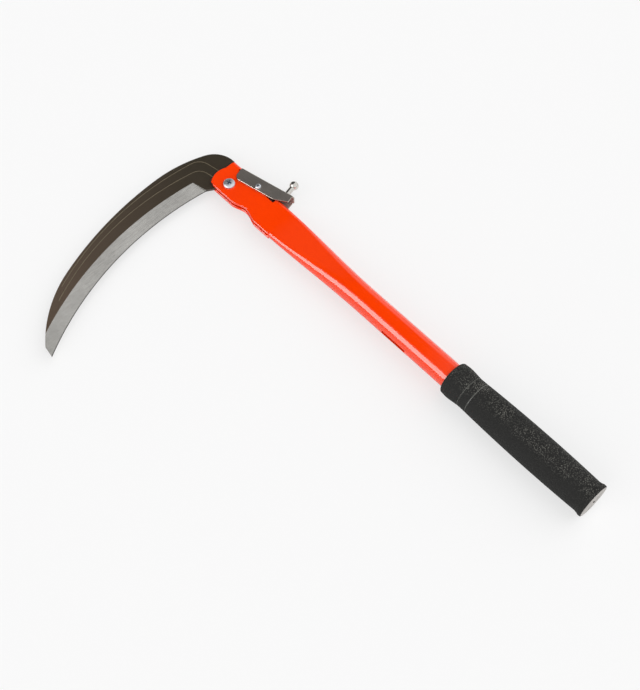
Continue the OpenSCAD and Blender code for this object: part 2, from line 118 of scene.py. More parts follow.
class Sketch:
    """Adds nodes to one material, group or world, and joins them."""

    def __init__(self, tree: bpy.types.NodeTree) -> None:
        """Start on a tree.

        Args:
            tree: The node tree to add to.
        """
        self.tree = tree

    def give(self, target: Socket, value: object) -> None:
        """Join a socket to a node's input, or set the input to a value.

        Args:
            target: The input.
            value: A socket or a value. A colour comes without its alpha.
        """
        if isinstance(value, Socket):
            self.tree.links.new(value, target)
        else:
            target.default_value = (*value, 1.0) if target.type == "RGBA" else value

    def add(self, kind: str, inputs: Optional[dict] = None, **settings: object) -> bpy.types.Node:
        """Add a node.

        Args:
            kind: The node's type name.
            inputs: A value or a socket to join, for each input name or number.
            **settings: The node's own settings.

        Returns:
            The new node.
        """
        node = self.tree.nodes.new(kind)
        for name, value in settings.items():
            setattr(node, name, value)
        for name, value in (inputs or {}).items():
            self.give(node.inputs[name], value)
        return node

    def noise(self, where: Socket, scale: object, detail: float, rough: float = 0.5) -> Socket:
        """Add a noise.

        Args:
            where: The coordinates to read.
            scale: Cells per metre.
            detail: How many finer layers it has.
            rough: How strong the finer layers are.

        Returns:
            The noise's value.
        """
        return self.add("ShaderNodeTexNoise", {"Vector": where, "Scale": scale, "Detail": detail,
                                               "Roughness": rough}).outputs["Fac"]

    def span(self, value: Socket, low: float, high: float, to_low: float = 0.0,
             to_high: float = 1.0) -> Socket:
        """Map a value from one range to another and hold it there.

        Args:
            value: The value to map.
            low: The value that becomes to_low.
            high: The value that becomes to_high.
            to_low: The result at low.
            to_high: The result at high.

        Returns:
            The mapped value.
        """
        return self.add("ShaderNodeMapRange", {"Value": value, "From Min": low, "From Max": high,
                                               "To Min": to_low, "To Max": to_high}).outputs["Result"]

    def blend(self, share: Socket, first: object, second: object) -> Socket:
        """Mix two colours.

        Args:
            share: How much of the second colour shows.
            first: A colour or a colour socket.
            second: A colour or a colour socket.

        Returns:
            The mixed colour.
        """
        return self.add("ShaderNodeMix", {0: share, 6: first, 7: second}, data_type="RGBA").outputs[2]

    def maths(self, operation: str, first: object, second: object) -> Socket:
        """Add a sum.

        Args:
            operation: The Math node's operation.
            first: A value or a socket.
            second: A value or a socket.

        Returns:
            The result.
        """
        return self.add("ShaderNodeMath", {0: first, 1: second}, operation=operation).outputs[0]

    def vectors(self, operation: str, first: object, second: object) -> Socket:
        """Add a sum of vectors.

        Args:
            operation: The Vector Math node's operation.
            first: A vector or a socket.
            second: A vector or a socket.

        Returns:
            The result: a number for a distance or a dot product, else a vector.
        """
        node = self.add("ShaderNodeVectorMath", {0: first, 1: second}, operation=operation)
        return node.outputs["Value" if operation in ("DISTANCE", "DOT_PRODUCT") else "Vector"]


class SurfaceSketch(Sketch):
    """Adds nodes to a material, and holds its shader and the object's own coordinates."""

    def __init__(self, material: bpy.types.Material) -> None:
        """Start on a material.

        Args:
            material: The material to add to.
        """
        material.use_nodes = True
        super().__init__(material.node_tree)
        self.shader = self.tree.nodes["Principled BSDF"]
        self.where = self.add("ShaderNodeTexCoord").outputs["Object"]

    def effect(self, tree: bpy.types.NodeTree, **values: object) -> bpy.types.NodeOutputs:
        """Place a shared effect.

        Args:
            tree: The effect's group.
            **values: Its inputs, apart from the coordinates.

        Returns:
            The effect's outputs.
        """
        return self.add("ShaderNodeGroup", {"Vector": self.where, **values}, node_tree=tree).outputs

    def relief(self, height: Socket, depth: float, strength: float = 1.0) -> Socket:
        """Turn a relief into a normal.

        Args:
            height: The relief, 0 to 1.
            depth: Its depth in metres.
            strength: How strongly it turns the normal.

        Returns:
            The normal.
        """
        return self.add("ShaderNodeBump", {"Height": height, "Distance": depth,
                                           "Strength": strength}).outputs["Normal"]

    def dress(self, **values: object) -> None:
        """Set the shader's inputs.

        Args:
            **values: The inputs' names, with _ for a space, and a value or a socket for each.
        """
        for name, value in values.items():
            self.give(self.shader.inputs[name.replace("_", " ")], value)


class SharedEffect:
    """The shader node groups that more than one finish uses, each built once."""

    built: dict[str, bpy.types.NodeTree] = {}

    @classmethod
    def group(cls, name: str, inputs: dict[str, object], outputs: Sequence[str],
              fill: Callable[[Sketch, bpy.types.NodeOutputs], Sequence[Socket]]) -> bpy.types.NodeTree:
        """Find a group, and build it the first time.

        Args:
            name: The group's name.
            inputs: The defaults of its inputs, a number or a vector each. Vector comes before them.
            outputs: The names of its outputs, which are numbers.
            fill: Adds the nodes between the group's inputs and the sockets that it puts out.

        Returns:
            The node group.
        """
        if name in cls.built:
            return cls.built[name]
        tree = bpy.data.node_groups.new(name, "ShaderNodeTree")
        tree.interface.new_socket(name="Vector", in_out="INPUT", socket_type="NodeSocketVector")
        for label, default in inputs.items():
            kind = "NodeSocketFloat" if isinstance(default, float) else "NodeSocketVector"
            socket = tree.interface.new_socket(name=label, in_out="INPUT", socket_type=kind)
            socket.default_value = default
        for label in outputs:
            tree.interface.new_socket(name=label, in_out="OUTPUT", socket_type="NodeSocketFloat")
        sketch = Sketch(tree)
        given, result = sketch.add("NodeGroupInput"), sketch.add("NodeGroupOutput")
        for label, value in zip(outputs, fill(sketch, given.outputs)):
            sketch.give(result.inputs[label], value)
        cls.built[name] = tree
        return tree

    @classmethod
    def mottle(cls) -> bpy.types.NodeTree:
        """Make soft uneven patches with a finer unevenness in them.

        Returns:
            The group, with a value between Low and High, and a mask.
        """

        def fill(sketch: Sketch, given: bpy.types.NodeOutputs) -> Sequence[Socket]:
            """Mix a large and a fine noise.

            Args:
                sketch: Adds the nodes.
                given: The group's inputs.

            Returns:
                The value and the mask.
            """
            large = sketch.noise(given["Vector"], given["Scale"], 3.0)
            fine = sketch.noise(given["Vector"], sketch.maths("MULTIPLY", given["Scale"], 9.0), 5.0, 0.6)
            both = sketch.maths("ADD", sketch.maths("MULTIPLY", large, 0.65),
                                sketch.maths("MULTIPLY", fine, 0.35))
            mask = sketch.span(both, 0.3, 0.7)
            spread = sketch.maths("SUBTRACT", given["High"], given["Low"])
            return sketch.maths("ADD", given["Low"], sketch.maths("MULTIPLY", mask, spread)), mask

        return cls.group("Mottle", {"Scale": 30.0, "Low": 0.0, "High": 1.0}, ["Value", "Mask"], fill)

    @classmethod
    def brushing(cls) -> bpy.types.NodeTree:
        """Make fine drawn lines.

        Returns:
            The group, with a height and a mask.
        """

        def fill(sketch: Sketch, given: bpy.types.NodeOutputs) -> Sequence[Socket]:
            """Squeeze a noise along the stroke.

            Args:
                sketch: Adds the nodes.
                given: The group's inputs.

            Returns:
                The height and the mask.
            """
            squeezed = sketch.vectors("MULTIPLY", given["Vector"], given["Squeeze"])
            lines = sketch.noise(squeezed, given["Scale"], 6.0, 0.65)
            return lines, sketch.span(lines, 0.38, 0.62)

        return cls.group("Brushing", {"Squeeze": (1.0, 1.0, 1.0), "Scale": 900.0}, ["Height", "Mask"],
                         fill)


class Finish:
    """A finish: its subclasses say how the surface looks."""

    name = "finish"
    made: dict["Finish", bpy.types.Material] = {}

    def material(self) -> bpy.types.Material:
        """Find the finish's material, made the first time it is asked for.

        Returns:
            The material.
        """
        if self not in Finish.made:
            material = bpy.data.materials.new(self.name)
            self.paint(SurfaceSketch(material))
            Finish.made[self] = material
        return Finish.made[self]

    def paint(self, sketch: SurfaceSketch) -> None:
        """Set the shader up.

        Args:
            sketch: The material's nodes.
        """
        raise NotImplementedError


@dataclass(frozen=True)
class RedLacquer(Finish):
    """Glossy orange-red stoving lacquer over steel tube."""

    name = "Red lacquer"
    light: Colour = (0.98, 0.052, 0.0008)
    deep: Colour = (0.90, 0.042, 0.0005)
    peel: float = 0.000012

    def paint(self, sketch: SurfaceSketch) -> None:
        """Lay a nearly even red under a clear gloss with a faint orange peel.

        Args:
            sketch: The material's nodes.
        """
        patches = sketch.effect(SharedEffect.mottle(), Scale=22.0, Low=0.1, High=0.2)
        grain = sketch.noise(sketch.where, 420.0, 2.0)
        sketch.dress(Base_Color=sketch.blend(patches["Mask"], self.light, self.deep),
                     Roughness=patches["Value"], Specular_IOR_Level=0.1, Coat_Weight=1.0,
                     Coat_Roughness=0.02, Coat_IOR=1.5, Normal=sketch.relief(grain, self.peel, 0.5))


@dataclass(frozen=True)
class DarkLacquer(Finish):
    """Thin brown-black lacquer on the blade, browner towards the tip."""

    name = "Dark lacquer"
    root: Colour = (0.042, 0.033, 0.021)
    tip: Colour = (0.118, 0.083, 0.059)
    root_at: float = 0.01
    tip_at: float = 0.2
    relief: float = 0.00001

    def paint(self, sketch: SurfaceSketch) -> None:
        """Let the steel show more through the lacquer towards the tip, in faint streaks.

        Args:
            sketch: The material's nodes.
        """
        split = sketch.add("ShaderNodeSeparateXYZ", {0: sketch.where}).outputs
        along = sketch.span(split["Y"], self.root_at, self.tip_at)
        patches = sketch.effect(SharedEffect.mottle(), Scale=14.0, Low=0.3, High=0.38)
        uneven = sketch.maths("MULTIPLY", sketch.maths("SUBTRACT", patches["Mask"], 0.5), 0.1)
        share = sketch.span(sketch.maths("ADD", along, uneven), 0.0, 1.0)
        lines = sketch.effect(SharedEffect.brushing(), Squeeze=(1.0, 0.12, 1.0), Scale=1500.0)
        sketch.dress(Base_Color=sketch.blend(share, self.root, self.tip), Roughness=patches["Value"],
                     Metallic=0.25, Coat_Weight=0.5, Coat_Roughness=0.18,
                     Normal=sketch.relief(lines["Height"], self.relief, 0.5))


@dataclass(frozen=True)
class BareSteel(Finish):
    """Bare steel with the marks of grinding or rolling."""

    name: str = "Ground steel"
    light: Colour = (0.59, 0.58, 0.55)
    dark: Colour = (0.40, 0.39, 0.37)
    squeeze: Triple = (1.0, 0.06, 1.0)
    smooth: float = 0.14
    rough: float = 0.27
    marks: float = 1600.0
    relief: float = 0.00001
    patch: float = 25.0
    metal: float = 1.0

    def paint(self, sketch: SurfaceSketch) -> None:
        """Mix a light and a dark tone by patches, and draw fine marks through them.

        Args:
            sketch: The material's nodes.
        """
        patches = sketch.effect(SharedEffect.mottle(), Scale=self.patch, Low=self.smooth,
                                High=self.rough)
        lines = sketch.effect(SharedEffect.brushing(), Squeeze=self.squeeze, Scale=self.marks)
        halves = [sketch.maths("MULTIPLY", effect["Mask"], 0.5) for effect in (patches, lines)]
        colour = sketch.blend(sketch.maths("ADD", *halves), self.light, self.dark)
        sketch.dress(Base_Color=colour, Roughness=patches["Value"], Metallic=self.metal,
                     Normal=sketch.relief(lines["Height"], self.relief, 0.6))


@dataclass(frozen=True)
class GroundSteel(BareSteel):
    """The bevel's bare steel, with a dark hair along the cutting edge."""

    metal: float = 0.8
    hub: Triple = (0.0, 0.0, 0.0)
    edge_r: float = 0.285
    hair: float = 0.0007
    shade: Colour = (0.08, 0.075, 0.07)

    def paint(self, sketch: SurfaceSketch) -> None:
        """Lay the steel, then darken it next to the hollow edge.

        Args:
            sketch: The material's nodes.
        """
        super().paint(sketch)
        colour = sketch.shader.inputs["Base Color"]
        flat = sketch.vectors("MULTIPLY", sketch.where, (1.0, 1.0, 0.0))
        away = sketch.vectors("DISTANCE", flat, self.hub)
        near = sketch.span(away, self.edge_r + self.hair * 0.6, self.edge_r + self.hair, 1.0, 0.0)
        sketch.give(colour, sketch.blend(near, colour.links[0].from_socket, self.shade))


@dataclass(frozen=True)
class GripRubber(Finish):
    """Moulded dark rubber, pebbled between a smooth collar and a smooth lip."""

    name = "Grip rubber"
    # The light tone is a painted highlight on the pebbles' tops; the dark tone is the rubber's own colour.
    light: Colour = (0.16, 0.157, 0.14)
    dark: Colour = (0.017, 0.017, 0.016)
    pebble: float = 0.0011
    wobble: float = 0.0009
    relief: float = 0.00025
    front: float = 0.141
    rear: float = 0.0055
    fade: float = 0.002
    # The Y range across which the pebbles' painted highlight gives way to painted shade on the blade side.
    painted_shade_side: Pair = (0.003, 0.009)

    def paint(self, sketch: SurfaceSketch) -> None:
        """Raise rounded pebbles with a painted highlight on their tops, fade it to painted shade on the
        blade side, and leave both ends smooth.

        Args:
            sketch: The material's nodes.
        """
        noise = sketch.add("ShaderNodeTexNoise", {"Vector": sketch.where, "Scale": 700.0, "Detail": 2.0})
        shift = sketch.vectors("MULTIPLY", noise.outputs["Color"], (self.wobble,) * 3)
        cells = sketch.add("ShaderNodeTexVoronoi", {
            "Vector": sketch.vectors("ADD", sketch.where, shift), "Scale": 1.0 / self.pebble,
            "Smoothness": 0.6}, feature="SMOOTH_F1").outputs["Distance"]
        knolls = sketch.span(cells, 0.1, 0.62, 1.0, 0.0)
        # Painted highlight: the light tone on the pebbles' tops.
        pebble_highlight = sketch.span(cells, 0.16, 0.46, 1.0, 0.0)
        split = sketch.add("ShaderNodeSeparateXYZ", {0: sketch.where}).outputs
        ahead = sketch.span(split["X"], self.front - self.fade, self.front, 1.0, 0.0)
        behind = sketch.span(split["X"], self.rear, self.rear + self.fade)
        height = sketch.maths("MULTIPLY", knolls, sketch.maths("MULTIPLY", ahead, behind))
        patches = sketch.effect(SharedEffect.mottle(), Scale=70.0, Low=0.7, High=0.85)
        # Painted shade: the pebbles' highlight fades on the blade side.
        painted_shade_side = sketch.span(split["Y"], *self.painted_shade_side, 1.0, 0.12)
        uneven = sketch.span(patches["Mask"], 0.25, 0.75, 0.25, 1.0)
        share = sketch.maths("MULTIPLY", sketch.maths("MULTIPLY", pebble_highlight, uneven), painted_shade_side)
        sketch.dress(Base_Color=sketch.blend(share, self.dark, self.light), Roughness=patches["Value"],
                     Specular_IOR_Level=0.2, Normal=sketch.relief(height, self.relief))


@dataclass(frozen=True)
class PlainPlastic(Finish):
    """A smooth moulded plastic or rubber face."""

    name: str = "Nylon insert"
    light: Colour = (0.16, 0.30, 0.55)
    dark: Colour = (0.10, 0.21, 0.44)
    patch: float = 400.0

    def paint(self, sketch: SurfaceSketch) -> None:
        """Give a soft plastic an uneven tone.

        Args:
            sketch: The material's nodes.
        """
        patches = sketch.effect(SharedEffect.mottle(), Scale=self.patch, Low=0.35, High=0.5)
        sketch.dress(Base_Color=sketch.blend(patches["Mask"], self.light, self.dark),
                     Roughness=patches["Value"])


EVEN = (1.0, 1.0, 1.0)
ACROSS = (0.1, 1.0, 1.0)
RED = RedLacquer()
DARK = DarkLacquer()
CUT_LINE = BareSteel("Cut line", (0.25, 0.21, 0.14), (0.17, 0.145, 0.1), smooth=0.4, rough=0.5,
                     metal=0.3)
ZINC = BareSteel("Zinc plate", (0.80, 0.83, 0.87), (0.66, 0.69, 0.74), EVEN, 0.4, 0.5, 900.0, 0.000006,
                 150.0)
# Painted shade: the cross recess is coloured dark and bluish to stand for the shade inside it.
PAINTED_SHADE_RECESS = BareSteel("Cross recess painted shade", (0.22, 0.27, 0.36), (0.15, 0.19, 0.26), smooth=0.4, rough=0.5,
                   metal=0.4)
LEVER = BareSteel("Lever steel", (0.36, 0.33, 0.30), (0.27, 0.245, 0.22), ACROSS, 0.34, 0.5, 1800.0,
                  0.000008, 90.0, 0.92)
# Painted shade: the spring is coloured nearly black to stand for the shadow in the head's pocket.
PAINTED_SHADE_WIRE = BareSteel("Spring wire painted shade", (0.10, 0.095, 0.09), (0.06, 0.058, 0.055), EVEN, 0.25, 0.4, 1200.0,
                 0.000004, 300.0)
# Painted highlight: a lighter copy of the lever steel on the cut edges, standing in for their edge
# highlights.
PAINTED_HIGHLIGHT_RIM = BareSteel("Lever rim painted highlight", (0.52, 0.47, 0.42), (0.42, 0.38, 0.33), ACROSS, 0.2, 0.3, 1800.0, 0.000004,
                90.0)
# Painted reflection: a lighter, pinkish copy of the lever steel on the shaded inner faces, standing in for
# the red head reflected in them.
PAINTED_REFLECTION_INSIDE = BareSteel("Lever inside painted reflection", (0.48, 0.37, 0.34), (0.34, 0.26, 0.24), ACROSS, 0.3, 0.45, 1800.0,
                   0.000008, 90.0, 0.3)
NICKEL = BareSteel("Nickel plate", (0.72, 0.70, 0.66), (0.64, 0.62, 0.58), EVEN, 0.05, 0.12, 300.0,
                   0.000002, 150.0)
RUBBER = GripRubber()
BUTT = PlainPlastic("Butt face", (0.43, 0.40, 0.37), (0.26, 0.24, 0.22), 90.0)
# Painted highlight: the groove faces are lighter than the rubber, standing in for the highlights along the
# grooves.
PAINTED_HIGHLIGHT_GROOVE = PlainPlastic("Grip groove painted highlight", (0.22, 0.22, 0.205), (0.06, 0.06, 0.055), 60.0)
NYLON = PlainPlastic()


# Modelling


def everything(mesh: Mesh) -> list:
    """Return a mesh's vertices, edges and faces."""
    return mesh.verts[:] + mesh.edges[:] + mesh.faces[:]


def points_in(geometry: Iterable) -> list[bmesh.types.BMVert]:
    """Return the vertices among some geometry."""
    return [item for item in geometry if isinstance(item, bmesh.types.BMVert)]


def edges_in(geometry: Iterable) -> list[bmesh.types.BMEdge]:
    """Return the edges among some geometry."""
    return [item for item in geometry if isinstance(item, bmesh.types.BMEdge)]


def merged(mesh: Mesh) -> Mesh:
    """Join the vertices that lie together, and return the mesh."""
    bmesh.ops.remove_doubles(mesh, verts=mesh.verts[:], dist=TOGETHER)
    return mesh


def outward(mesh: Mesh) -> Mesh:
    """Turn all faces outwards, and return the mesh."""
    bmesh.ops.recalc_face_normals(mesh, faces=mesh.faces[:])
    return mesh


def moved(mesh: Mesh, matrix: Matrix) -> Mesh:
    """Move a mesh and return it."""
    bmesh.ops.transform(mesh, matrix=matrix, verts=mesh.verts[:])
    return mesh


def tagged(mesh: Mesh, finish: int) -> Mesh:
    """Give every face one of the piece's finishes.

    Args:
        mesh: The mesh.
        finish: The finish's number.

    Returns:
        The mesh.
    """
    for face in mesh.faces:
        face.material_index = finish
    return mesh


def spun(mesh: Mesh, geometry: list, degrees: float, steps: int, centre: Sequence[float] = (0.0, 0.0),
         rise: float = 0.0, closed: bool = False) -> list:
    """Spin some geometry about a line along Z.

    Args:
        mesh: The mesh it is in.
        geometry: What is spun.
        degrees: How far it turns, to the left where positive.
        steps: How many stretches it has.
        centre: Where the line stands.
        rise: How far each stretch climbs.
        closed: Whether the last stretch joins the first.

    Returns:
        The geometry at the end of the spin.
    """
    made = bmesh.ops.spin(mesh, geom=geometry, cent=(centre[0], centre[1], 0.0), axis=(0.0, 0.0, 1.0),
                          dvec=(0.0, 0.0, rise), angle=math.radians(degrees), steps=steps,
                          use_merge=closed, use_normal_flip=False, use_duplicate=False)
    return made["geom_last"]


def thick(mesh: Mesh, low: float, high: float) -> Mesh:
    """Give a flat face its thickness.

    Args:
        mesh: The face, at height 0.
        low: The height of its underside.
        high: The height of its top.

    Returns:
        The solid.
    """
    moved(mesh, Matrix.Translation((0.0, 0.0, low)))
    made = bmesh.ops.extrude_face_region(mesh, geom=mesh.faces[:])
    bmesh.ops.translate(mesh, verts=points_in(made["geom"]), vec=(0.0, 0.0, high - low))
    return outward(mesh)


def soften(mesh: Mesh, edges: Iterable[bmesh.types.BMEdge], width: float, steps: int = 3) -> None:
    """Round some edges.

    Args:
        mesh: The mesh they are in.
        edges: The edges.
        width: How wide the rounding is.
        steps: How many faces it has across.
    """
    bmesh.ops.bevel(mesh, geom=list(edges), offset=width, offset_type="OFFSET", segments=steps,
                    profile=0.5, affect="EDGES", clamp_overlap=True, material=-1, loop_slide=True)


def edges_over(mesh: Mesh, degrees: float,
               test: Callable[[Vector, Vector], bool] = lambda a, b: True) -> list[bmesh.types.BMEdge]:
    """Return the edges that turn sharply enough and pass a test of their two ends."""
    return [e for e in mesh.edges if len(e.link_faces) == 2 and test(e.verts[0].co, e.verts[1].co)
            and e.calc_face_angle(0.0) > math.radians(degrees)]


def is_rim(a: Vector, b: Vector) -> bool:
    """Return whether an edge of a flat plate lies in one of its two faces."""
    return abs(a.z - b.z) < 1e-5


def box(low: Sequence[float], high: Sequence[float], edge: float = 0.0) -> Mesh:
    """Make a box.

    Args:
        low: Its lowest corner.
        high: Its highest corner.
        edge: How wide the rounding of its edges is, or 0.

    Returns:
        The solid.
    """
    mesh = bmesh.new()
    bmesh.ops.create_cube(mesh, size=1.0)
    size = [h - l for l, h in zip(low, high)]
    middle = [(h + l) / 2 for l, h in zip(low, high)]
    moved(mesh, Matrix.Translation(middle) @ Matrix.Diagonal((*size, 1.0)))
    if edge:
        soften(mesh, mesh.edges[:], edge, 2)
    return mesh


def rod(radius: float, low: float, high: float, at: Sequence[float] = (0.0, 0.0),
        top_radius: Optional[float] = None, steps: int = 64) -> Mesh:
    """Make a cylinder or cone about a line along Z.

    Args:
        radius: Its radius at the foot.
        low: The height of its foot.
        high: The height of its top.
        at: Where it stands.
        top_radius: Its radius at the top, where it differs.
        steps: How many faces go round.

    Returns:
        The solid.
    """
    mesh = bmesh.new()
    bmesh.ops.create_cone(mesh, cap_ends=True, segments=steps, radius1=radius,
                          radius2=radius if top_radius is None else top_radius, depth=high - low)
    return moved(mesh, Matrix.Translation((at[0], at[1], (low + high) / 2)))


class Pen:
    """Draws a flat outline point by point, with spun corners, then closes and fills it."""

    def __init__(self, x: float, y: float) -> None:
        """Start the outline.

        Args:
            x: Where it starts.
            y: Where it starts.
        """
        self.mesh = bmesh.new()
        self.first = self.mesh.verts.new((x, y, 0.0))
        self.tip = self.first

    def line(self, *points: Pair) -> "Pen":
        """Draw straight on.

        Args:
            *points: The points to pass.

        Returns:
            The pen.
        """
        for x, y in points:
            self.tip = bmesh.ops.extrude_vert_indiv(self.mesh, verts=[self.tip])["verts"][0]
            self.tip.co = (x, y, 0.0)
        return self

    def arc(self, centre: Sequence[float], degrees: float, steps: int) -> "Pen":
        """Draw on along an arc.

        Args:
            centre: The arc's centre.
            degrees: How far it turns, to the left where positive.
            steps: How many stretches it has.

        Returns:
            The pen.
        """
        self.tip = points_in(spun(self.mesh, [self.tip], degrees, steps, centre))[0]
        return self

    def filled(self) -> Mesh:
        """Close the outline.

        Returns:
            Its face.
        """
        if (self.tip.co - self.first.co).length > TOGETHER:
            bmesh.ops.contextual_create(self.mesh, geom=[self.tip, self.first])
        merged(self.mesh)
        bmesh.ops.edgeloop_fill(self.mesh, edges=self.mesh.edges[:])
        return self.mesh

    def prism(self, low: float, high: float) -> Mesh:
        """Return the filled outline as a solid between two heights."""
        return thick(self.filled(), low, high)

    def lathed(self, steps: int) -> Mesh:
        """Spin the outline, drawn as radius and height, about its axis.

        Args:
            steps: How many faces go round.

        Returns:
            The turned solid, about Z.
        """
        mesh = moved(self.mesh, turn(90, "X"))
        spun(mesh, mesh.verts[:] + mesh.edges[:], 360, steps, closed=True)
        return outward(merged(mesh))


def linked(name: str, data: bpy.types.ID) -> bpy.types.Object:
    """Make an object and put it in the scene.

    Args:
        name: Its name.
        data: Its mesh, lamp or camera.

    Returns:
        The object.
    """
    made = bpy.data.objects.new(name, data)
    bpy.context.scene.collection.objects.link(made)
    return made


def settled(mesh: Mesh, name: str) -> bpy.types.Mesh:
    """Turn a working mesh into mesh data, and free it.

    Args:
        mesh: The working mesh.
        name: The data's name.

    Returns:
        The mesh data.
    """
    data = bpy.data.meshes.new(name)
    mesh.to_mesh(data)
    mesh.free()
    return data


class Cut(Enum):
    """What a tool does to a solid."""

    AWAY = "DIFFERENCE"
    ON = "UNION"
    WITHIN = "INTERSECT"


def worked(mesh: Mesh, *tools: tuple[Cut, Mesh]) -> Mesh:
    """Cut tools away from a solid, join them on, or keep what lies within them.

    Args:
        mesh: The solid.
        *tools: What each tool does, and its mesh.

    Returns:
        The worked solid.
    """
    blank = linked("blank", bpy.data.meshes.new("blank"))
    mesh.to_mesh(blank.data)
    spent = [blank]
    for cut, tool in tools:
        spent.append(linked("tool", settled(outward(tool), "tool")))
        step = blank.modifiers.new("work", "BOOLEAN")
        step.operation, step.object, step.solver = cut.value, spent[-1], "EXACT"
    bpy.context.view_layer.update()
    done = bpy.data.meshes.new_from_object(blank.evaluated_get(bpy.context.evaluated_depsgraph_get()))
    mesh.clear()
    mesh.from_mesh(done)
    for thing in spent:
        data = thing.data
        bpy.data.objects.remove(thing)
        bpy.data.meshes.remove(data)
    bpy.data.meshes.remove(done)
    return mesh


def stand(mesh: Mesh, name: str, place: Place, body: Body, finishes: Sequence[Finish],
          nodes: Sequence[str], crease: float) -> bpy.types.Object:
    """Finish a piece: move its mesh into the shared frame, dress it and let it ride on its body.

    Args:
        mesh: The mesh, in its own place's frame.
        name: The piece's name.
        place: The frame it is drawn in.
        body: The body it rides on.
        finishes: The finishes, by the faces' numbers.
        nodes: The CAD nodes it stands for.
        crease: The angle in degrees past which an edge is sharp.

    Returns:
        The piece.
    """
    outward(moved(mesh, place.matrix))
    for face in mesh.faces:
        face.smooth = True
    data = settled(mesh, name)
    data.set_sharp_from_angle(angle=math.radians(crease))
    for finish in finishes:
        data.materials.append(finish.material())
    piece = linked(name, data)
    even = piece.modifiers.new("even shading", "WEIGHTED_NORMAL")
    even.keep_sharp = True
    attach(piece, body.value)
    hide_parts(*nodes)
    log.info("%s: %d faces, on %s", name, len(data.polygons), body.value)
    return piece


@dataclass(frozen=True)
class Fold:
    """How a flat sheet is bent: a flat web, a round bend to each side, then two flat cheeks."""

    web: float
    radius: float
    level: float
    sheet: float
    steps: int = 12

    @property
    def quarter(self) -> float:
        """Return the length of a bend in the flat sheet."""
        return self.radius * math.pi / 2

    @property
    def middle(self) -> float:
        """Return the flat sheet's Y where the middle of the web comes."""
        return self.web + self.quarter + self.level - self.radius

    def rolled_out(self, half: Mesh, edge: float, corner: float,
                   keep: Callable[[Vector, Vector], bool]) -> Mesh:
        """Make the flat blank from the outline of one cheek with half the web.

        Args:
            half: The outline's face, reaching to the middle of the web.
            edge: How wide the rounding of the cut edges is.
            corner: How wide the rounding of sharp corners is, or 0.
            keep: Says which edges are rounded.

        Returns:
            The blank, one sheet thick.
        """
        other = points_in(bmesh.ops.duplicate(half, geom=everything(half))["geom"])
        bmesh.ops.translate(half, verts=other, vec=(0.0, -self.middle, 0.0))
        bmesh.ops.scale(half, verts=other, vec=(1.0, -1.0, 1.0))
        bmesh.ops.translate(half, verts=other, vec=(0.0, self.middle, 0.0))
        blank = thick(outward(merged(half)), -self.sheet / 2, self.sheet / 2)
        if corner:
            soften(blank, edges_over(blank, 40.0, lambda a, b: not is_rim(a, b) and keep(a, b)), corner)
        soften(blank, edges_over(blank, 60.0, lambda a, b: is_rim(a, b) and keep(a, b)), edge)
        return blank

    def bent(self, blank: Mesh) -> Mesh:
        """Bend the blank round the two bends.

        Args:
            blank: The flat blank.

        Returns:
            The bent sheet, with the web across Y and the cheeks above and below.
        """
        for side in (-1, 1):
            for k in range(self.steps + 1):
                y = self.middle + side * (self.web + self.quarter * k / self.steps)
                bmesh.ops.bisect_plane(blank, geom=everything(blank), dist=1e-5,
                                       plane_co=(0.0, y, 0.0), plane_no=(0.0, 1.0, 0.0))
        for vert in blank.verts:
            vert.co = self.bend(vert.co)
        return outward(blank)

    def bend(self, flat: Vector) -> Vector:
        """Find where a point of the flat blank comes.

        Args:
            flat: The point in the flat blank.

        Returns:
            The point in the bent sheet.
        """
        away = self.middle - flat.y
        reach, out = abs(away), flat.z
        if reach <= self.web:
            height, side = self.level + out, reach
        elif reach <= self.web + self.quarter:
            angle = (reach - self.web) / self.radius
            side = self.web + (self.radius + out) * math.sin(angle)
            height = self.level - self.radius + (self.radius + out) * math.cos(angle)
        else:
            side = self.web + self.radius + out
            height = self.level - self.radius - (reach - self.web - self.quarter)
        return Vector((flat.x, height, math.copysign(side, away)))


# Sub-assemblies


